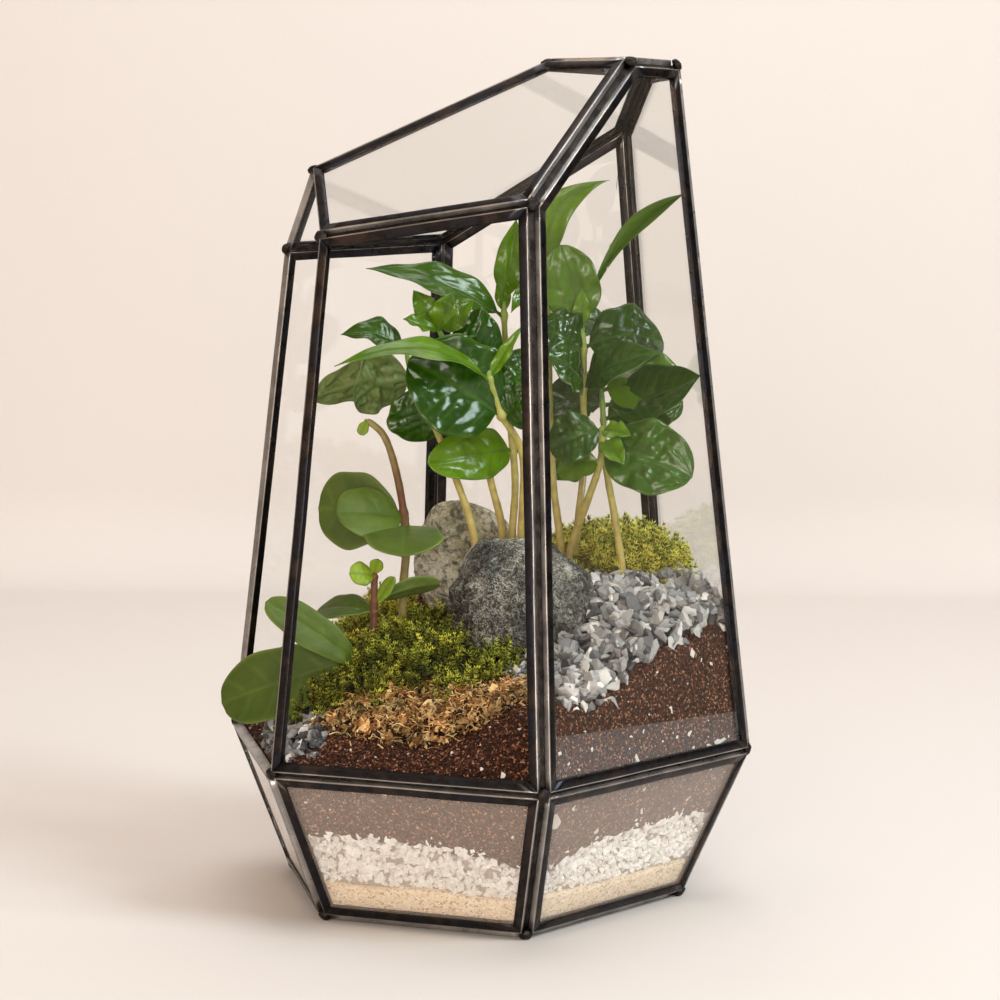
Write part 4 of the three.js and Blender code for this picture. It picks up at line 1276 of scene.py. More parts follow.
@dataclass
class Bed:
    """A bed of filling: a body between two heights, out to the panes."""

    house: House
    top: Height
    bottom: Height
    rings: int = 24
    levels: int = 8
    per_side: int = 30
    first_guess: float = 50.0
    guesses: int = 12

    def angles(self) -> Array:
        """Directions round the axis, with one on each corner of the belt."""
        corners = np.radians([c.angle for c in self.house.corners])
        following = np.append(corners[1:], corners[0] + 2 * math.pi)
        return np.linspace(corners, following, self.per_side, endpoint=False).T.reshape(-1)

    def _rim(self, angle: Array, height: Height) -> tuple[Array, Array]:
        """Distances and heights where a height meets the panes, by repeated steps."""
        z = np.full_like(angle, self.first_guess)
        for _ in range(self.guesses):
            reach = self.house.reach(angle, z)
            z = height(*around(reach, angle))
        return reach, z

    def surface(self) -> Surface:
        """The closed body: rings of the bottom, levels of the wall and rings of the top."""
        angle = self.angles()
        low_reach, low = self._rim(angle, self.bottom)
        high_reach, high = self._rim(angle, self.top)
        rows = []
        for height, reach, order in ((self.bottom, low_reach, 1), (self.top, high_reach, -1)):
            share = np.linspace(0.004, 1, self.rings)[::order, None]
            x, y = around(share * reach, angle)
            rows.append(spots(x, y, height(x, y)))
        level = np.linspace(0, 1, self.levels)[1:-1, None]
        z = low + (high - low) * level
        reach = self.house.reach(angle, z)
        wall = spots(*around(reach, angle), z)
        return tube(np.concatenate([rows[0], wall, rows[1]]))


class Chips:
    """Broken angular chips, made from a few convex forms that are turned and scaled."""

    def __init__(self, seed: int, forms: int = 9, corners: int = 11, flat: float = 0.6) -> None:
        """Makes the forms.

        Args:
            seed: Seed of every draw.
            forms: Number of different forms.
            corners: Corners that each form starts from.
            flat: Thickness over length.
        """
        self.rng = np.random.default_rng(seed)
        self.forms = [self._form(corners, flat) for _ in range(forms)]

    def _form(self, corners: int, flat: float) -> tuple[Array, Array]:
        """A convex form round random corners on a flattened ball."""
        points = unit(self.rng.normal(size=(corners, 3))) * [1.0, self.rng.uniform(0.6, 0.9), flat]
        shape = bmesh.new()
        for point in points:
            shape.verts.new(point)
        bmesh.ops.convex_hull(shape, input=shape.verts)
        for vert in [v for v in shape.verts if not v.link_faces]:
            shape.verts.remove(vert)
        bmesh.ops.triangulate(shape, faces=shape.faces)
        shape.verts.index_update()
        corners = np.array([vert.co for vert in shape.verts])
        faces = np.array([[vert.index for vert in face.verts] for face in shape.faces])
        shape.free()
        return corners, faces

    def turns(self, count: int) -> Array:
        """Random turns, as matrices, from random quaternions."""
        w, x, y, z = unit(self.rng.normal(size=(count, 4))).T
        turn = [
            [1 - 2 * (y * y + z * z), 2 * (x * y - w * z), 2 * (x * z + w * y)],
            [2 * (x * y + w * z), 1 - 2 * (x * x + z * z), 2 * (y * z - w * x)],
            [2 * (x * z - w * y), 2 * (y * z + w * x), 1 - 2 * (x * x + y * y)],
        ]
        return np.moveaxis(np.array(turn), -1, 0)

    def scattered(self, places: Array, size: Array, shade: Array, kept: Array) -> Surface:
        """Puts a chip on every place that is kept.

        Args:
            places: Centres.
            size: Half lengths.
            shade: Shade of each chip, from 0 to 1.
            kept: Which places are kept.

        Returns:
            All chips as one surface.
        """
        places, size, shade = places[kept], size[kept], shade[kept]
        form = self.rng.integers(0, len(self.forms), len(places))
        turn = self.turns(len(places)) * size[:, None, None]
        parts = []
        for k, (points, faces) in enumerate(self.forms):
            mine = form == k
            count = int(mine.sum())
            if not count:
                continue
            placed = np.einsum("nij,vj->nvi", turn[mine], points) + places[mine][:, None, :]
            part = Surface(placed.reshape(-1, 3), [repeated(faces, count, len(points))])
            parts.append(part.with_value("shade", np.repeat(shade[mine], len(points))))
        return Surface.joined(parts)


@dataclass
class Oval:
    """An oval patch of the plan: centre, half lengths and turn in degrees."""

    cx: float
    cy: float
    a: float
    b: float
    turn: float
    thick: float
    sunk: float = 1.5
    skirt: float = 4.0
    rows: int = 34
    columns: int = 84

    def place(self, share: Array, angle: Array) -> tuple[Array, Array]:
        """Places at a share of the way from the centre to the rim."""
        x, y = turned(self.a * share * np.cos(angle), self.b * share * np.sin(angle), self.turn)
        return self.cx + x, self.cy + y

    def spread(self, count: int, rng: Random) -> tuple[Array, Array, Array]:
        """Random places, evenly over the patch.

        Args:
            count: Number of places.
            rng: Source of the draws.

        Returns:
            Places over the plan, and their shares of the way to the rim.
        """
        share = np.sqrt(rng.uniform(0, 1, count))
        x, y = self.place(share, rng.uniform(0, 2 * math.pi, count))
        return x, y, share

    def height(self, ground: Ground, x: Array, y: Array, share: Array) -> Array:
        """Height of the patch, which bulges over the soil and is sunk into it at its rim."""
        bulge = np.sqrt(np.clip(1 - share**3, 0, 1))
        return ground.soil_top(x, y) - self.sunk + (self.thick + self.sunk) * bulge

    def cushion(self, ground: Ground, roughness: float, grain: float, seed: int) -> Surface:
        """The patch as a closed lumpy body that stays inside the panes.

        Args:
            ground: Heights of the soil.
            roughness: Height of its lumps.
            grain: Length of its lumps.
            seed: Seed of its lumps.

        Returns:
            The body.
        """
        share = np.linspace(0.01, 1, self.rows)[:, None]
        angle = np.linspace(0, 2 * math.pi, self.columns, endpoint=False)[None, :]
        x, y = self.place(share, angle)
        lump = roughness * waves(x, y, grain, seed) * (1 - share**4)
        z = self.height(ground, x, y, share + 0 * angle) + lump
        top = spots(x, y, z)
        under = top[::-1] - [0, 0, self.skirt]
        rings = np.concatenate([under[:-1], top[::-1]])
        return tube(ground.house.held(rings, STAND_OFF.cushion))


@dataclass
class Filling:
    """Sand, white gravel and soil."""

    ground: Ground
    gravel_core: float = 0.965
    gravel_chips: int = 6600
    gravel_levels: Pair = (13.5, 36.0)
    gravel_sizes: Pair = (1.3, 2.6)
    pressed_levels: Pair = (34, 96)
    crumbs_white: float = 0.08
    pressed_white: float = 0.28
    crumbs: int = 5600
    pressed: int = 2600
    fibres: int = 700
    white_shade: float = 0.95

    @property
    def house(self) -> House:
        """The house that holds the filling."""
        return self.ground.house

    def make_sand(self, material: Material) -> None:
        """Makes the sand: a bed with a slightly rough skin."""
        floor = lambda x, y: self.ground.floor + 0 * x
        bed = Bed(self.house, self.ground.sand_top, floor, rings=10)
        make_piece("sand_bed", bed.surface(), [material], ["sand"])

    def make_gravel(self, material: Material) -> None:
        """Makes the gravel: chips against the panes and on top, round a plain core painted dark as
        shade between the chips.
        """
        sand = lambda x, y: self.ground.sand_top(x, y) + 0.3
        core = Bed(self.house, lambda x, y: self.ground.gravel_top(x, y) - 2.6, sand, rings=10)
        inner = core.surface()
        inner.points[:, :2] *= self.gravel_core
        chips = Chips(11, flat=0.7)
        rng, count = chips.rng, self.gravel_chips
        angle = rng.uniform(-math.pi, math.pi, count)
        z = rng.uniform(*self.gravel_levels, count)
        size = rng.uniform(*self.gravel_sizes, count)
        reach = self.house.reach(angle, z)
        high = self.ground.gravel_top(*around(reach, angle))
        reach = reach - size * np.where(z > high - 1, 0.4, rng.uniform(0.9, 2.2, count))
        x, y = around(reach, angle)
        kept = (z > sand(x, y) + 0.3 * size) & (z < high + rng.normal(0.4, 1.5, count))
        shade = np.clip(rng.normal(0.7, 0.2, count), 0.2, 1)
        cover = chips.scattered(spots(x, y, z), size, shade, kept)
        self.house.hold(cover, STAND_OFF.gravel)
        # The core takes shade 0, the darkest gravel colour: painted shade in the gaps between the
        # chips.
        whole = Surface.joined([inner.with_value("shade", 0.0), cover])
        name = "white_gravel"
        make_piece(f"{name}_chips", whole, [material], [name], smooth=False)

    def make_soil(self, material: Material, bits: Material) -> None:
        """Makes the soil and the loose bits on it."""
        gravel = lambda x, y: self.ground.gravel_top(x, y) + 0.3
        shape = {"rings": 90, "levels": 44, "per_side": 64}
        body = Bed(self.house, self.ground.rough_soil, gravel, **shape).surface()
        self.house.hold(body, STAND_OFF.soil)
        make_piece("soil_bed", body, [material], ["soil"])
        chips = Chips(23, forms=7, corners=9, flat=0.75)
        parts = [self._crumbs(chips), self._pressed(chips.rng), self._fibres(chips.rng)]
        make_piece("soil_bits", Surface.joined(parts), [bits], smooth=False)

    def _crumbs(self, chips: Chips) -> Surface:
        """Crumbs and pale specks all over the soil."""
        rng, count = chips.rng, self.crumbs
        x, y = self._over_plan(rng, count, (0.1, 1), STAND_OFF.crumb_centres)
        size = rng.gamma(3.0, 0.15, count) + 0.2
        places = spots(x, y, self.ground.rough_soil(x, y) + 0.2 * size)
        shade = rng.uniform(0.0, 0.6, count)
        self._whiten(rng, shade, size, self.crumbs_white, {0.6: 0.7, 1.0: 0.26, 2.6: 0.04})
        kept = self.house.room_at(places) > 2.4 + 0.6 * size
        cover = chips.scattered(places, size, shade, kept)
        return self.house.hold(cover, STAND_OFF.crumbs)

    def _pressed(self, rng: Random) -> Surface:
        """Crumbs and pale specks pressed flat against the panes."""
        count = self.pressed
        angle = rng.uniform(-math.pi, math.pi, count)
        z = rng.uniform(*self.pressed_levels, count)
        size = rng.gamma(2.5, 0.2, count) + 0.2
        x, y = around(self.house.reach(angle, z, STAND_OFF.crumbs) - 0.5 * size, angle)
        kept = (z < self.ground.soil_top(x, y) - 1) & (z > self.ground.gravel_top(x, y) + 1)
        shade = rng.uniform(0.1, 0.8, count)
        self._whiten(rng, shade, size, self.pressed_white, {0.8: 0.6, 1.4: 0.3, 2.8: 0.1})
        chips = Chips(29, forms=9, corners=18, flat=0.8)
        cover = chips.scattered(spots(x, y, z), size, shade, kept)
        return self.house.hold(cover, STAND_OFF.pressed_soil)

    def _over_plan(
        self, rng: Random, count: int, span: Pair, stand_off: float
    ) -> tuple[Array, Array]:
        """Random places over the soil, between two shares of the way out to the panes."""
        angle = rng.uniform(-math.pi, math.pi, count)
        share = np.sqrt(rng.uniform(*span, count))
        reach = self.house.reach(angle, np.full(count, 60.0), stand_off)
        return around(share * reach, angle)

    def _whiten(
        self,
        rng: Random,
        shade: Array,
        size: Array,
        part: float,
        sizes: dict[float, float],
    ) -> None:
        """Makes a part of the bits white, and scales each of those by one of the sizes.

        Args:
            rng: Source of the draws.
            shade: Shades, changed in place.
            size: Half lengths, changed in place.
            part: Share of the bits that are white.
            sizes: Each scale, with how often it is drawn.
        """
        white = rng.uniform(0, 1, len(shade)) < part
        shade[white] = self.white_shade
        size[white] *= rng.choice(list(sizes), white.sum(), p=list(sizes.values()))

    def _fibres(self, rng: Random) -> Surface:
        """Thin bent fibres that lie on the soil: three-sided rods along shallow arcs."""
        count, steps, sides = self.fibres, 5, 3
        x0, y0 = self._over_plan(rng, count, (0.2, 0.95), STAND_OFF.fibre_centres)
        way = rng.uniform(0, 2 * math.pi, count)[:, None]
        length = rng.uniform(2.5, 7.0, count)[:, None]
        s = np.linspace(-0.5, 0.5, steps)[None, :]
        bend = rng.uniform(-1.2, 1.2, count)[:, None] * (s**2 - 0.25)
        x = x0[:, None] + length * (s * np.cos(way) - bend * np.sin(way))
        y = y0[:, None] + length * (s * np.sin(way) + bend * np.cos(way))
        arch = rng.uniform(0.0, 1.2, count)[:, None] * (1 - 4 * s**2)
        z = self.ground.rough_soil(x, y) + 0.2 + arch
        line = self.house.held(spots(x, y, z), STAND_OFF.fibres)
        radius = rng.uniform(0.06, 0.15, count)
        shade = rng.uniform(0.4, 0.8, count)
        return rods(line, radius, sides).with_value("shade", np.repeat(shade, steps * sides))


def circle(side: Array, lift: Array, sides: int) -> Array:
    """Directions round a line, from two directions across it, one to each side of a rod."""
    turn = np.linspace(0, 2 * math.pi, sides, endpoint=False)[:, None]
    return np.cos(turn) * side[..., None, :] + np.sin(turn) * lift[..., None, :]


def rods(lines: Array, radius: Array, sides: int) -> Surface:
    """Thin rods along many short lines at once.

    Args:
        lines: Points, by rod, step and coordinate.
        radius: One radius a rod.
        sides: Sides of each rod.

    Returns:
        All rods as one surface, each closed by its two end faces.
    """
    count, steps = lines.shape[:2]
    way = unit(np.gradient(lines, axis=1))
    side = unit(np.cross(way, UP + [0.01, 0.02, 0.0]))
    rings = circle(side, np.cross(side, way), sides)
    points = lines[:, :, None, :] + rings * radius[:, None, None, None]
    ends = np.stack([np.arange(sides)[::-1], np.arange(sides) + (steps - 1) * sides])
    faces = [repeated(group, count, steps * sides) for group in (cells(steps, sides, True), ends)]
    return Surface(points.reshape(-1, 3), faces)


# Ground covers


@dataclass
class Rock:
    """A boulder: a rounded block with flats and lumps, flattened and turned."""

    name: str
    node: str
    at: Triple
    size: Triple
    turn: float
    phase: float
    seed: int
    flats: int = 14
    shaved_from: float = 0.96
    left_of_cut: float = 0.2
    # Height, length and seed of each layer of lumps, on a rock of radius one.
    layers: tuple[tuple[float, float, int], ...] = (
        (0.016, 0.5, 0),
        (0.009, 0.2, 1),
        (0.005, 0.08, 2),
    )

    def _local(self, points: Array) -> Array:
        """Points in the rock's own frame, scaled so that it is about a unit ball."""
        offset = points - np.array(self.at)
        x, y = turned(offset[..., 0], offset[..., 1], -self.turn)
        return spots(x, y, offset[..., 2]) / self.size

    def clear_of(self, points: Array, margin: Array | float) -> Array:
        """Whether points lie outside the rock by a margin."""
        return self._cubed(self._local(points)) > 0.96 + np.asarray(margin) / 20

    @staticmethod
    def _cubed(points: Array) -> Array:
        """The cube root of the summed cubes, which is one all over a rounded block."""
        return np.cbrt((np.abs(points) ** 3).sum(axis=-1))

    def make(self, material: Material) -> None:
        """Makes the rock: slow waves and a flat shape it, planes shave it, lumps roughen it."""
        way_out = ball(120, 200)
        x, y, z = np.moveaxis(way_out, -1, 0)
        slow = np.sin(2.3 * x + self.phase) * np.cos(2.7 * z + self.phase)
        slow = slow + np.sin(3.1 * y + self.phase)
        flat = 1 - 0.4 * np.maximum(0, x * 0.6 + z * 0.8 - 0.72)
        radius = (1 + 0.05 * slow) * flat / self._cubed(way_out)
        rng = np.random.default_rng(self.seed)
        cut = self.shaved_from
        for way in unit(rng.normal(size=(self.flats, 3))):
            reach = (way_out * radius[..., None]) @ way
            shaved = radius * (cut + self.left_of_cut * (reach - cut)) / np.maximum(reach, TINY)
            radius = np.where(reach > cut, shaved, radius)
        for high, length, more in self.layers:
            radius = radius + high * lumps(way_out, length, self.seed + more)
        shape = way_out * radius[..., None] * np.array(self.size)
        x, y = turned(shape[..., 0], shape[..., 1], self.turn)
        placed = spots(x, y, shape[..., 2]) + np.array(self.at)
        make_piece(self.name, tube(placed), [material], [self.node])


ROCKS = [
    Rock("rock_front_boulder", "rock_front", (6, -31, 103), (25, 15, 27), -14, 0.6, 3),
    Rock("rock_rear_boulder", "rock_rear", (0, 23, 116), (18, 11, 20), -14, 2.1, 8),
]


@dataclass
class Cover:
    """What lies on a patch of the soil, and keeps clear of the panes and the rocks."""

    name: str
    node: str
    oval: Oval
    count: int
    seed: int

    def clear(self, ground: Ground, places: Array, edge: float, margin: Array | float) -> Array:
        """Which places lie inside the panes by one distance and outside the rocks by another."""
        outside = np.all([rock.clear_of(places, margin) for rock in ROCKS], axis=0)
        return (ground.house.room_at(places) > edge) & outside


@dataclass
class SlateBed(Cover):
    """A bed of slate chips."""

    low: float = 2.0
    high: float = 4.4
    flat: float = 0.4
    tone: float = 0.43
    white: float = 0.045

    def make(self, ground: Ground, material: Material) -> None:
        """Makes the bed: three layers of chips over a plain body.

        Args:
            ground: Heights of the soil.
            material: The chips' material.
        """
        chips = Chips(self.seed, forms=14, corners=13, flat=self.flat)
        rng, oval = chips.rng, self.oval
        x, y, share = oval.spread(self.count, rng)
        size = rng.uniform(self.low, self.high, self.count)
        depth = rng.uniform(0, 1, self.count) ** 1.5 * oval.thick * 0.8
        z = oval.height(ground, x, y, share) + 0.8 * waves(x, y, 12, self.seed) - depth
        places = spots(x, y, z)
        kept = self.clear(ground, places, 2.4, 0.2 * size)
        shade = np.clip(rng.normal(self.tone, 0.25, self.count), 0, 0.85)
        shade[rng.uniform(0, 1, self.count) < self.white] = 0.97
        cover = chips.scattered(places, size, shade, kept)
        ground.house.hold(cover, STAND_OFF.slate)
        low = replace(oval, a=oval.a * 0.8, b=oval.b * 0.8, thick=oval.thick - 5)
        # The body takes shade 0, the darkest slate colour: painted shade in the gaps between the
        # chips.
        body = low.cushion(ground, 0.6, 7, self.seed).with_value("shade", 0.0)
        ground.house.hold(body, STAND_OFF.slate_core)
        whole = Surface.joined([body, cover])
        make_piece(self.name, whole, [material], [self.node], smooth=False)


@dataclass
class MossPatch(Cover):
    """A cushion of moss: star-shaped shoots on a dark lumpy body."""

    tall: float = 6.2
    whorls: int = 7
    leaflets: int = 4

    def shoot(self) -> tuple[Array, Array, Array]:
        """One shoot of height one: a bent stalk with whorls of pointed leaflets.

        The stalk leans sideways by the square of the height. A leaflet is a thin pyramid from the
        stalk to its tip. Low whorls spread wide, high ones close up.

        Returns:
            Points, triangles, and how near each point is to a tip.
        """
        points, faces, tips = [], [], []
        pyramid = ((0, 2, 3), (2, 1, 3), (1, 0, 3), (0, 1, 2))
        for whorl in range(self.whorls):
            share = whorl / (self.whorls - 1)
            foot = np.array([0.35 * share**2, 0.0, 0.08 + 0.74 * share])
            lean = math.radians(74 - 46 * share)
            length = 0.34 - 0.12 * share
            for k in range(self.leaflets):
                turn = 2 * math.pi * (k + 0.43 * whorl) / self.leaflets
                out = np.array([math.cos(turn), math.sin(turn), 0.0])
                side = np.cross(UP, out) * 0.045
                way = (out * math.sin(lean) + UP * math.cos(lean)) * length
                start = len(points)
                points += [foot - side, foot + side, foot + way * 0.3 + UP * 0.05, foot + way]
                low = 0.1 + 0.35 * share
                tips += [low, low, 0.3 + 0.4 * share, 0.55 + 0.45 * share]
                faces += [[start + a for a in face] for face in pyramid]
        return np.array(points), np.array(faces), np.array(tips)

    def make(self, ground: Ground, material: Material) -> None:
        """Makes the patch.

        Args:
            ground: Heights of the soil.
            material: The moss's material.
        """
        rng = np.random.default_rng(self.seed)
        x, y, share = self.oval.spread(self.count, rng)
        lump = waves(x, y, 13, self.seed)
        z = self.oval.height(ground, x, y, share) + 2.0 * lump * (1 - share**4) - 1.2
        places = spots(x, y, z)
        kept = self.clear(ground, places, 3.2, 0.4)
        x, y, places, lump = x[kept], y[kept], places[kept], lump[kept]
        points, faces, tips = self.shoot()
        count = len(places)
        size = self.tall * rng.uniform(0.6, 1.3, count)
        lean = spots((x - self.oval.cx) / 40, (y - self.oval.cy) / 40, 1.0)
        lean = unit(lean + rng.normal(0, 0.42, (count, 3)) * [1, 1, 0])
        turn = rng.uniform(0, 2 * math.pi, count)
        first = unit(np.cross(lean, spots(*around(1.0, turn), 0.0)))
        basis = np.stack([first, np.cross(lean, first), lean], axis=2) * size[:, None, None]
        shoots = np.einsum("nij,vj->nvi", basis, points) + places[:, None, :]
        # Dark at each shoot's foot and pale at its tip, and a little lighter where the cushion is
        # raised: the pale tips are the moss's own, the dark feet are painted shade.
        shade = tips[None, :] * rng.uniform(0.4, 1.2, (count, 1)) + 0.08 * lump[:, None]
        cover = Surface(shoots.reshape(-1, 3), [repeated(faces, count, len(points))])
        cover.with_value("tip", np.clip(shade, 0, 1).reshape(-1))
        ground.house.hold(cover, STAND_OFF.moss)
        body = self.oval.cushion(ground, 2.0, 13, self.seed)
        body.points[:, 2] -= 1.6
        # The body takes tip 0, the darkest colour: painted shade under the shoots.
        whole = Surface.joined([body.with_value("tip", 0.0), cover])
        make_piece(self.name, whole, [material], [self.node])


@dataclass
class DriedMoss(Cover):
    """A band of dried moss: crumbled flakes and curled strands over a thin body."""

    strands: int = 1700
    steps: int = 7
    sides: int = 4

    def make(self, ground: Ground, material: Material) -> None:
        """Makes the band.

        Args:
            ground: Heights of the soil.
            material: The strands' material.
        """
        oval = self.oval
        wide = replace(oval, cx=oval.cx - 3, cy=oval.cy - 3, a=oval.a + 5, b=oval.b + 5)
        chips = Chips(self.seed, forms=12, corners=8, flat=0.28)
        crumbled = self._flakes(wide, ground, chips)
        strands = self._strands(wide, ground, chips.rng)
        low = replace(oval, a=oval.a * 0.95, b=oval.b * 0.9, thick=oval.thick - 2)
        body = low.cushion(ground, 1.2, 6, self.seed).with_value("tip", 0.1)
        whole = Surface.joined([body, crumbled, strands])
        make_piece(self.name, whole, [material], [self.node], smooth=False)

    def _flakes(self, wide: Oval, ground: Ground, chips: Chips) -> Surface:
        """Crumbled flakes all over the band."""
        rng, count = chips.rng, self.count
        x, y, share = wide.spread(count, rng)
        base = wide.height(ground, x, y, share) + rng.uniform(-1.6, 1.2, count)
        places = spots(x, y, base + 1.2 * waves(x, y, 9, 3))
        size = rng.gamma(3.0, 0.26, count) + 0.3
        shade = np.clip(rng.normal(0.52, 0.32, count), 0, 1)
        flakes = chips.scattered(places, size, shade, np.ones(count, bool))
        flakes.values["tip"] = flakes.values.pop("shade")
        return ground.house.hold(flakes, STAND_OFF.crumbs)

    def _strands(self, wide: Oval, ground: Ground, rng: Random) -> Surface:
        """Curled strands: rods whose heading turns evenly along their length."""
        count, rows = self.strands, (self.strands, 1)
        x, y, share = wide.spread(count, rng)
        base = wide.height(ground, x, y, share) + rng.uniform(-1.0, 1.6, count)
        s = np.linspace(0, 1, self.steps)[None, :]
        heading = rng.uniform(0, 2 * math.pi, rows) + rng.uniform(-4.0, 4.0, rows) * s
        length = rng.uniform(2.0, 6.0, rows) / self.steps
        px = x[:, None] + np.cumsum(np.cos(heading), axis=1) * length
        py = y[:, None] + np.cumsum(np.sin(heading), axis=1) * length
        pz = base[:, None] + rng.uniform(0.1, 1.4, rows) * np.sin(math.pi * s)
        lines = ground.house.held(spots(px, py, pz), STAND_OFF.strands)
        radius = rng.uniform(0.08, 0.2, count)
        tips = np.repeat(rng.uniform(0.2, 1.0, count), self.steps * self.sides)
        return rods(lines, radius, self.sides).with_value("tip", tips)


LEFT_SLATE = {"low": 1.4, "high": 3.4, "flat": 0.34, "tone": 0.16}
COVERS = [
    SlateBed("slate_right_chips", "slate_right", Oval(44, -43, 58, 36, 33, 9), 2500, 41),
    SlateBed(
        "slate_left_chips", "slate_left", Oval(-70, -16, 34, 11, 88, 4), 520, 43, **LEFT_SLATE
    ),
    MossPatch("moss_front_shoots", "moss_front", Oval(-33, -25, 44, 22, -33, 9), 1500, 51, 7.0),
    MossPatch("moss_right_shoots", "moss_right", Oval(54, 15, 36, 27, 80, 13), 1400, 53, 8.5),
    MossPatch("moss_rear_shoots", "moss_rear", Oval(-40, 42, 26, 18, 20, 9), 700, 55),
    DriedMoss("dried_moss_strands", "dried_moss", Oval(-27, -49, 39, 8, -33, 6), 4200, 61),
]


# Plants


@dataclass(frozen=True)
class Blade:
    """The form of a leaf's blade, with its swellings and waves in millimetres.

    The outline's powers are of the way from the base and of the way to the tip, the fold lifts each
    half by so many degrees, and veins counts the side veins on each half.
    """

    outline: Pair
    fold: float
    veins: int
    puff: float
    wave: float


class LeafKind(Enum):
    """Kinds of leaf."""

    TRUE = Blade((0.75, 1.05), 12.0, 9, 0.35, 0.9)
    LONG = Blade((0.60, 1.20), 12.0, 9, 0.30, 0.7)
    ROUND = Blade((0.50, 0.55), 8.0, 7, 0.65, 1.1)
    RIBBED = Blade((0.50, 0.60), 10.0, 9, 1.55, 1.6)
    FOLDED = Blade((2.30, 1.00), 44.0, 8, 0.35, 0.5)
    OVAL = Blade((0.62, 0.45), 5.0, 5, 0.06, 0.15)


@dataclass
class Leaf:
    """A leaf's place on its stem, its direction and its size."""

    at: float
    turn: float
    rise: float
    length: float
    width: float
    look: float
    arch: float
    kind: LeafKind
    age: float
    sweep: float = 0.0

    # Share of the length that is stalk, and how a margin is drawn.
    STALK: ClassVar[float] = 0.07
    UNEVEN: ClassVar[float] = 0.035
    RIM_FROM: ClassVar[float] = 0.9
    VEIN_WIDTH: ClassVar[float] = 0.16

    def _frame(self) -> tuple[Array, Array, Array]:
        """The leaf's directions: along its midrib, out of its face and across it."""
        turn, rise, look = (math.radians(a) for a in (self.turn, self.rise, self.look))
        level = np.array([math.cos(turn), math.sin(turn), 0.0])
        axis = level * math.cos(rise) + UP * math.sin(rise)
        up = UP * math.cos(look) + DRESSED_TOWARDS * math.sin(look)
        up = unit(up - axis * (up @ axis))
        return axis, up, np.cross(up, axis)

    def _half_width(self, u: Array, v: Array, blade: Array, uneven: float) -> Array:
        """Half the blade's width: a power of the way from its base times one of that to its tip."""
        a, b = self.kind.value.outline
        peak = (a / (a + b)) ** a * (b / (a + b)) ** b
        half = self.width / 2 * (blade**a * (1 - blade) ** b) / peak
        half = half * (1 + self.UNEVEN * np.sin(2 * math.pi * (2.3 * u + uneven)) * np.sign(v))
        return np.maximum(half, 0.8 - 0.68 * u)

    def _puckers(self, u: Array, v: Array, seed: int) -> Array:
        """Uneven swellings of the blade, which a ribbed leaf has more of."""
        along, aside = u * self.length + 0 * v, v * self.width + 0 * u
        pucker = 0.7 * waves(along, aside, 7.0, seed + 90)
        pucker = pucker + 0.17 * waves(along, aside, 3.2, seed + 91)
        ribs = 0.45 * max(self.kind.value.puff - 1, 0)
        return pucker + ribs * waves(0.3 * along, aside, 2.8, seed + 92)

    def surface(self, base: Array, seed: int, thick: float) -> Surface:
        """The leaf as a closed thin blade on a grid.

        Along the midrib u runs from 0 to 1, across it v runs from -1 to 1. Height adds an arch
        along the midrib, a fold that grows with v, swellings between the side veins and waves along
        the margin. Side veins lie where u times their number, less a part of v, is whole.

        Args:
            base: Where it leaves the stem.
            seed: Seed of its unevenness.
            thick: The blade's thickness.

        Returns:
            The blade with its values under, vein, rim and age.
        """
        rng = np.random.default_rng(seed)
        kind = self.kind.value
        axis, up, side = self._frame()
        rows, columns = (60, 25) if self.length > 16 else (26, 11)
        u, v = np.linspace(0, 1, rows)[:, None], np.linspace(-1, 1, columns)[None, :]
        out = np.abs(v)
        blade = np.clip((u - self.STALK) / (1 - self.STALK), 0, 1)
        half = self._half_width(u, v, blade, rng.uniform())
        bow = 4 * u * (1 - u)
        fold = math.radians(kind.fold)
        veins = kind.veins * (blade - 0.16 * out**1.4) + 0.2 * (v > 0)
        between = np.abs((veins % 1) - 0.5) * 2
        body = np.clip(1 - v**4, 0, 1) * np.clip(out * 5, 0, 1) * np.clip(blade * 6, 0, 1)
        grown = kind.puff * min(max(2 * self.age - 0.6, 0.25), 1.0)
        swelling = grown * (0.6 * (1 - between**2) + self._puckers(u, v, seed))
        swelling = swelling * body * (half / (self.width / 2))
        phase = rng.uniform(2.2, 3.4) * u + rng.uniform() + 0.25 * np.sign(v)
        margin = kind.wave * np.sin(2 * math.pi * phase) * out**2.5 * bow
        cockle = waves(u * self.length, v * self.width, 16, seed) * bow * (1 - 0.6 * out)
        rib = -0.35 * np.exp(-((v * half) ** 2) / 0.5) * np.clip(1.1 - u, 0, 1)
        height = self.arch * bow + out * half * math.sin(fold) + swelling
        height = height + margin + 0.5 * kind.wave * cockle + rib
        across = self.sweep * bow + v * half * math.cos(fold)
        middle = base + axis * (self.length * u)[..., None] + up * height[..., None]
        middle = middle + side * across[..., None]
        thickness = (thick + 1.0 * np.exp(-u / 0.05)) * (1 - 0.65 * out**6)
        normal = unit(np.cross(np.gradient(middle, axis=0), np.gradient(middle, axis=1)))
        normal = normal * np.where(normal @ up > 0, 1.0, -1.0)[..., None]
        lines = np.exp(-(((1 - between) / self.VEIN_WIDTH) ** 2)) * body
        values = {
            "vein": np.clip(lines + np.exp(-((v * half / 0.5) ** 2)), 0, 1),
            "rim": np.clip((out - self.RIM_FROM) / (1 - self.RIM_FROM), 0, 1) * np.ones_like(u),
            "age": np.full((rows, columns), self.age),
        }
        sheets = []
        for face in (0.5, -0.5):
            sheet = middle + normal * (face * thickness)[..., None]
            under = np.full((rows, columns), float(face < 0))
            sheets.append(grid(sheet, {**values, "under": under}))
        both = Surface.joined(sheets)
        index = np.arange(rows * columns).reshape(rows, columns)
        rim = np.concatenate([index[0, :], index[1:, -1], index[-1, -2::-1], index[-2:0:-1, 0]])
        after, step = np.roll(rim, -1), rows * columns
        both.faces.append(np.stack([rim, after, after + step, rim + step], axis=1))
        return both


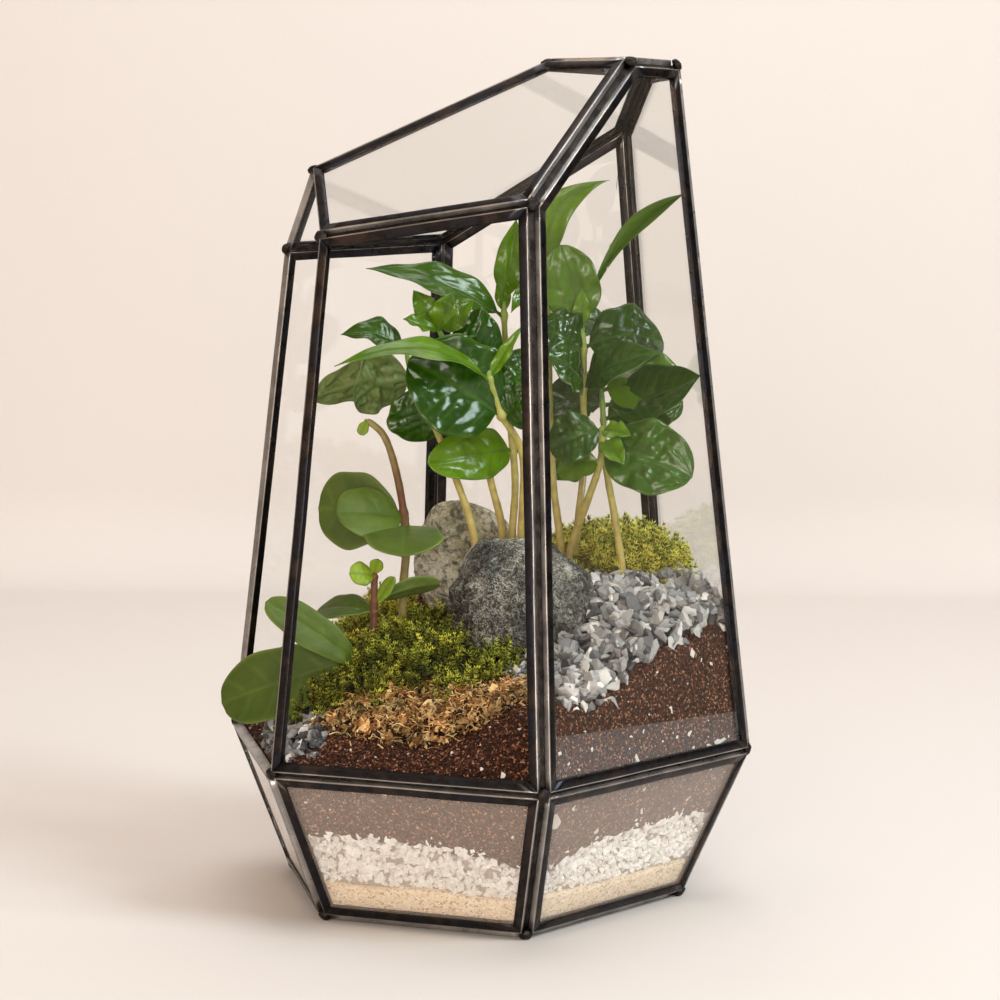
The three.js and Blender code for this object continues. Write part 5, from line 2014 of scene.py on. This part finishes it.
@dataclass
class Plant:
    """A leafy stem: the points that it passes above the soil, and its leaves."""

    name: str
    node: str
    slot: str
    route: list[Triple]
    leaves: list[Leaf]
    foot: float = 1.55
    head: float = 0.9
    root: float = 8.0
    thick: float = 0.34

    RINGS: ClassVar[int] = 90
    SIDES: ClassVar[int] = 14
    KNUCKLE: ClassVar[float] = 0.35
    KNUCKLE_LENGTH: ClassVar[float] = 0.012
    UNEVEN: ClassVar[float] = 0.05

    def path(self, ground: Ground, share: Array) -> Array:
        """Places along the stem by a Catmull-Rom curve through its points.

        Args:
            ground: Heights of the soil, in which the stem is rooted.
            share: 0 is the root's end and 1 the tip.

        Returns:
            Places.
        """
        points = np.array(self.route, float)
        x, y = points[0, 0], points[0, 1]
        points = np.vstack([[x, y, float(ground.soil_top(x, y)) - self.root], points])
        points = np.vstack([2 * points[0] - points[1], points, 2 * points[-1] - points[-2]])
        spans = len(points) - 3
        place = np.clip(np.asarray(share, float) * spans, 0, spans - 1e-9)
        i = place.astype(int)
        t = (place - i)[..., None]
        p0, p1, p2, p3 = (points[i + k] for k in range(4))
        squared, cubed = 2 * p0 - 5 * p1 + 4 * p2 - p3, 3 * p1 - p0 - 3 * p2 + p3
        return 0.5 * (2 * p1 + (p2 - p0) * t + squared * t**2 + cubed * t**3)

    def leaf_place(self, at: float) -> float:
        """A leaf's share of the whole path, from its share of the part above the soil."""
        above = 1 / len(self.route)
        return above + (1 - above) * at

    def stem(self, ground: Ground) -> Surface:
        """The stem: a tube that tapers to its tip, with a swelling under each leaf."""
        share = np.linspace(0, 1, self.RINGS)
        line = self.path(ground, share)
        way = unit(np.gradient(line, axis=0))
        side = unit(np.cross(way, [0.31, 0.95, 0.05]))
        radius = self.foot + (self.head - self.foot) * share
        for at in {leaf.at for leaf in self.leaves}:
            near = (share - self.leaf_place(at)) / self.KNUCKLE_LENGTH
            radius = radius + self.KNUCKLE * np.exp(-(near**2))
        radius = radius + self.UNEVEN * waves(share * 100, share, 7, 3)
        radius[-3:] *= [0.9, 0.7, 0.35]
        ring_out = circle(side, np.cross(way, side), self.SIDES)
        rings = line[:, None, :] + ring_out * radius[:, None, None]
        return tube(rings, {"height": np.broadcast_to(share[:, None], rings.shape[:2])})

    def make(self, ground: Ground, leaf: Material, stem: Material, seed: int) -> None:
        """Makes the plant.

        Args:
            ground: Heights of the soil.
            leaf: The leaves' material.
            stem: The stem's material.
            seed: Seed of its leaves' unevenness.
        """
        parts = [self.stem(ground).with_value("second", 1.0)]
        for k, one in enumerate(self.leaves):
            base = self.path(ground, np.array(self.leaf_place(one.at)))
            parts.append(one.surface(base, seed * 17 + k, self.thick).with_value("second", 0.0))
        make_piece(self.name, Surface.joined(parts), [leaf, stem], [self.node])


T, L, R, B, F, O = LeafKind
Grown = tuple[list[Triple], list[Leaf]]

COFFEE: dict[int, Grown] = {
    1: (
        [(-2, 2, 124), (-9, 2, 147), (-17, 2, 166), (-25, 2, 184), (-27, 3, 192)],
        [
            Leaf(0.73, -168, -19, 24, 25, -60, 4, B, 0.9),
            Leaf(0.76, 153, -15, 38, 16, -70, 4, B, 0.9),
            Leaf(0.70, 51, -72, 22, 24, 75, 2, R, 0.95),
            Leaf(1.00, 176, 15, 24, 14, 40, 5, T, 0.9),
        ],
    ),
    2: (
        [(8, 1, 127), (4, 3, 146), (0, 5, 168), (-10, 2, 189), (-16, 0, 200)],
        [
            Leaf(0.87, -13, -7, 20, 26, 75, 4, R, 1.0),
            Leaf(0.99, -60, 67, 15, 11, 80, 1, T, 0.3),
            Leaf(1.00, 142, 54, 17, 9, 70, 1, T, 0.45),
            Leaf(0.99, -176, 18, 14, 8, 45, 1, T, 0.4),
            Leaf(1.00, -33, 40, 17, 12, 70, 2, T, 0.6),
        ],
    ),
    3: (
        [(13, -6, 126), (12, -11, 156), (3, -15, 171), (-2, -18, 184), (-2, -18, 187)],
        [
            Leaf(0.72, -168, 6, 59, 13, 35, 10, L, 0.25),
            Leaf(0.75, -25, 58, 22, 5, 60, 1, L, 0.05),
            Leaf(0.49, -173, 30, 40, 36, 70, 3, R, 1.0),
            Leaf(0.50, 20, 58, 26, 19, 70, 2, R, 0.95),
            Leaf(0.48, -17, 24, 17, 18, 65, 2, R, 0.95),
        ],
    ),
    4: (
        [(12, 3, 125), (14, 7, 146), (12, 10, 174), (10, 9, 204), (10, 9, 210)],
        [
            Leaf(0.75, 179, 19, 53, 16, 45, 6, L, 0.8),
            Leaf(0.97, -53, 80, 30, 11, 85, 2, T, 0.4),
            Leaf(0.77, -126, 81, 15, 6, 80, 0, T, 0.35),
            Leaf(0.35, -159, -5, 37, 19, 78, 3, R, 0.2),
            Leaf(0.35, 9, -12, 32, 16, 85, 3, R, 0.3),
        ],
    ),
    5: (
        [(28, -2, 122), (26, 2, 146), (25, 4, 175), (24, 2, 200), (23, 2, 222)],
        [
            Leaf(1.00, -29, 54, 38, 13, 85, 2, L, 0.1, 9),
            Leaf(0.98, -145, -37, 23, 8, 40, 2, T, 0.5),
            Leaf(0.73, 16, 14, 25, 18, 55, 3, T, 0.9),
        ],
    ),
    6: (
        [(29, -9, 119), (34, -15, 140), (37, -20, 154), (37, -22, 165), (37, -22, 167)],
        [
            Leaf(0.65, -36, -18, 35, 27, 72, 3, R, 0.85),
            Leaf(0.67, -70, -31, 15, 9, 60, 1, T, 0.1),
            Leaf(0.79, -61, -5, 14, 8, 60, 1, T, 0.1),
            Leaf(0.79, 152, -22, 20, 19, 65, 3, R, 0.95),
            Leaf(0.51, 149, -15, 16, 12, 65, 2, R, 0.35),
        ],
    ),
    7: (
        [(33, -2, 117), (36, -3, 152), (35, -5, 175), (34, -8, 195), (33, -7, 202)],
        [
            Leaf(0.98, -161, 72, 30, 21, 90, 2, R, 0.5),
            Leaf(0.91, -32, 53, 60, 9, 60, 1, F, 0.6, 7),
            Leaf(0.95, -104, 69, 15, 7, 80, 0, T, 0.1),
            Leaf(0.73, -4, 3, 29, 25, 55, 6, R, 1.0),
            Leaf(0.55, -51, 23, 35, 17, 55, 5, T, 0.95),
            Leaf(0.56, -145, 30, 23, 20, 55, 3, R, 0.95),
            Leaf(0.71, -177, 25, 19, 22, 65, 3, R, 1.0),
        ],
    ),
    8: (
        [(46, -21, 111), (43, -19, 134), (41, -13, 153), (42, -7, 166), (42, -4, 179)],
        [
            Leaf(0.89, -47, 17, 41, 23, 58, -4, T, 0.95),
            Leaf(0.89, 119, 8, 28, 24, 70, -2, R, 0.95),
            Leaf(0.99, -11, 6, 30, 24, 65, 3, R, 0.4),
            Leaf(0.79, -13, 13, 29, 23, 60, 3, R, 0.9),
        ],
    ),
}

PEPEROMIA: dict[str, Grown] = {
    "tall": (
        [(-27, 7, 106), (-26, 7, 121), (-27, 6, 134), (-30, 6, 150), (-34, 7, 162), (-40, 8, 168)],
        [
            Leaf(0.41, 156, 2, 31, 28, 85, 1, O, 0.9),
            Leaf(0.38, -161, 8, 28, 19, 62, 2, O, 0.8),
            Leaf(0.34, -104, -15, 28, 28, 15, 2, O, 0.85),
            Leaf(1.00, -175, -65, 6, 4, 80, 0, O, 0.2),
        ],
    ),
    "young": (
        [(-41, -10, 88), (-41, -10, 99), (-41, -10, 116)],
        [
            Leaf(0.95, -163, 10, 10, 9, 60, 1, O, 0.1),
            Leaf(0.98, -72, 64, 6, 5, 80, 0, O, 0.1),
            Leaf(0.66, -32, 55, 13, 5, 50, 0, O, 0.3),
            Leaf(0.60, 136, -5, 24, 15, 30, 2, O, 0.9),
            Leaf(0.70, 13, 11, 26, 10, -50, 2, O, 0.9),
        ],
    ),
    "low": (
        [(-46, -19, 76), (-46, -17, 83), (-47, -16, 88)],
        [
            Leaf(0.91, 155, -20, 53.5, 25, 70, 3, O, 0.95),
            Leaf(0.54, 180, 35, 42, 14, 55, 2, O, 0.85),
        ],
    ),
}


# Peperomias have thicker stems and leaves.
FLESHY = {"foot": 1.6, "head": 1.2, "thick": 0.9}


# The stage


@dataclass
class Studio:
    """The camera, the pale floor that curves up behind, and soft light."""

    eye: Triple = (-223.138, -901.992, 238.799)
    yaw: float = 14.334
    pitch: float = -6.063
    roll: float = 0.434
    lens: float = 95.08
    sensor: float = 36.0
    clip: Pair = (0.05, 20.0)
    far: float = 4000.0
    wall_behind: float = 800.0
    bend: float = 60.0
    bend_steps: int = 16
    table_right: float = 1250.0
    # The unlit side of the room, along and up, and how far it stands beyond the table.
    dark_run: Pair = (-2200.0, 1800.0)
    dark_rise: Pair = (-500.0, 620.0)
    dark_beyond: float = 250.0

    def _level(self) -> tuple[Array, Array]:
        """The camera's level directions on the plan: ahead and to the right."""
        yaw = math.radians(self.yaw)
        return np.array([math.sin(yaw), math.cos(yaw)]), np.array([math.cos(yaw), -math.sin(yaw)])

    def make_camera(self) -> None:
        """Makes the camera at the photograph's viewing angle."""
        pitch, roll = math.radians(self.pitch), math.radians(self.roll)
        level, aside = self._level()
        ahead = Vector((*(level * math.cos(pitch)), math.sin(pitch)))
        right = Vector((*aside, 0.0))
        above = right.cross(ahead)
        turned_right = math.cos(roll) * right + math.sin(roll) * above
        turned_up = -math.sin(roll) * right + math.cos(roll) * above
        data = bpy.data.cameras.new("camera")
        data.lens = self.lens
        data.sensor_width = self.sensor
        data.clip_start, data.clip_end = self.clip
        camera = bpy.data.objects.new("camera", data)
        columns = zip(turned_right, turned_up, -ahead, Vector(self.eye) * MM)
        camera.matrix_world = Matrix([*columns, (0, 0, 0, 1)])
        bpy.context.scene.collection.objects.link(camera)
        bpy.context.scene.camera = camera

    def _sheet(self, name: str, points: Array, paint: Painter) -> bpy.types.Object:
        """Makes a sheet of the stage on a grid of points.

        Args:
            name: The sheet's name.
            points: Array of rows, columns and three coordinates.
            paint: Its finish.

        Returns:
            The object.
        """
        sheet = grid(points)
        mesh = bpy.data.meshes.new(name)
        mesh.from_pydata((sheet.points * MM).tolist(), [], sheet.faces[0].tolist())
        mesh.polygons.foreach_set("use_smooth", np.ones(len(mesh.polygons), bool))
        mesh.materials.append(paint.material)
        made = bpy.data.objects.new(name, mesh)
        bpy.context.scene.collection.objects.link(made)
        return made

    def make_floor(self) -> None:
        """Makes the floor: a flat sheet that bends up into a wall by a quarter circle."""
        ahead, right = self._level()
        turn = np.linspace(0, math.pi / 2, self.bend_steps)
        bent = self.wall_behind - self.bend + self.bend * np.sin(turn)
        run = np.concatenate([[-self.far, -600.0], bent, [self.wall_behind]])[:, None]
        rise = np.concatenate([[0.0, 0.0], self.bend * (1 - np.cos(turn)), [self.far]])[:, None]
        wide = np.array([-self.far, self.table_right])[None, :]
        x, y = (run * ahead[i] + wide * right[i] for i in range(2))
        colour = (0.766, 0.72, 0.695)
        paint = Painter("pale_floor", Base_Color=colour, Roughness=0.9, Specular_IOR_Level=0.1)
        self._sheet("floor", spots(x, y, rise), paint)

    def make_dark_room(self) -> None:
        """Makes the unlit side of the room beyond the table, which only mirrors in the glass."""
        ahead, right = self._level()
        run, rise = np.array(self.dark_run)[:, None], np.array(self.dark_rise)[None, :]
        place = (self.table_right + self.dark_beyond) * right
        x, y = (place[i] + run * ahead[i] for i in range(2))
        colour = (0.02, 0.018, 0.017)
        paint = Painter("dark_room", Base_Color=colour, Roughness=1.0, Specular_IOR_Level=0.0)
        room = self._sheet("dark_room", spots(x, y, rise), paint)
        room.visible_camera = room.visible_transmission = False

    def make_light(self) -> None:
        """Makes the soft light: a large box to the right, a fill to the left and a pale sky."""
        for name, place, size, power, colour in (
            ("key", (900, -900, 1100), 600, 17.0, (0.84, 0.95, 1.0)),
            ("fill", (-1300, -700, 800), 1000, 2.6, (1.0, 0.73, 0.54)),
            ("front", (-500, -1500, 420), 800, 15.8, (1.0, 0.91, 0.81)),
            ("overhead", (100, 100, 1500), 900, 6.2, (1.0, 0.985, 0.985)),
            ("backdrop", (150, 420, 1300), 700, 1.5, (0.95, 1.0, 1.0)),
        ):
            data = bpy.data.lights.new(name, "AREA")
            data.size = size * MM
            data.energy = power
            data.color = colour
            lamp = bpy.data.objects.new(name, data)
            lamp.location = Vector(place) * MM
            aim = Vector((0.2, 0.8, 0.35) if name == "backdrop" else (0, 0, 0.14)) - lamp.location
            lamp.rotation_euler = aim.to_track_quat("-Z", "Y").to_euler()
            bpy.context.scene.collection.objects.link(lamp)
        world = bpy.data.worlds.new("sky")
        world.use_nodes = True
        world.node_tree.nodes["Background"].inputs[0].default_value = (1.0, 0.79, 0.59, 1.0)
        world.node_tree.nodes["Background"].inputs[1].default_value = 0.36
        scene = bpy.context.scene
        scene.world = world
        scene.view_settings.view_transform = "Standard"
        scene.cycles.max_bounces = 16
        scene.cycles.transmission_bounces = 14
        scene.cycles.transparent_max_bounces = 24
        scene.cycles.caustics_reflective = False
        scene.cycles.caustics_refractive = False


def main() -> None:
    """Makes the stage, the house, the filling and the plants, and dresses them."""
    logging.basicConfig(level=logging.INFO, format="%(name)s %(message)s")
    studio = Studio()
    studio.make_camera()
    studio.make_floor()
    studio.make_dark_room()
    studio.make_light()
    house = House()
    ground = Ground(house)
    house.make_frame(CameFinish().material(), SolderFinish().material())
    clean, dusty = GlassFinish().material(), GlassFinish("lower_pane_glass", dust=0.12).material()
    for name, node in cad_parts.items():
        if name.startswith("glass_"):
            node.data.materials.clear()
            node.data.materials.append(dusty if name.startswith("glass_lower") else clean)
    filling = Filling(ground)
    filling.make_sand(SandFinish().material())
    filling.make_gravel(WHITE_GRAVEL.material())
    filling.make_soil(SoilFinish().material(), SOIL_BITS.material())
    for rock, finish in zip(ROCKS, (DARK_ROCK, PALE_ROCK)):
        rock.make(finish.material())
    slate, moss, pale = SLATE.material(), MOSS.material(), PALE_MOSS.material()
    for cover, material in zip(COVERS, (slate, slate, moss, pale, pale, DRIED_MOSS.material())):
        cover.make(ground, material)
    leaf, stem = COFFEE_LEAF.material(), COFFEE_STEM.material()
    for number, (route, leaves) in COFFEE.items():
        plant = Plant(f"coffee_seedling_{number}", f"coffee_{number}", "coffee_leaf", route, leaves)
        plant.make(ground, leaf, stem, number)
    leaf, tall, young = PEPEROMIA_LEAF.material(), TALL_STEM.material(), YOUNG_STEM.material()
    for seed, (kind, (route, leaves)) in enumerate(PEPEROMIA.items(), 20):
        name = f"peperomia_{kind}"
        plant = Plant(f"{name}_plant", name, "peperomia_leaf", route, leaves, **FLESHY)
        plant.make(ground, leaf, tall if kind == "tall" else young, seed)


if __name__ == "__main__":
    main()
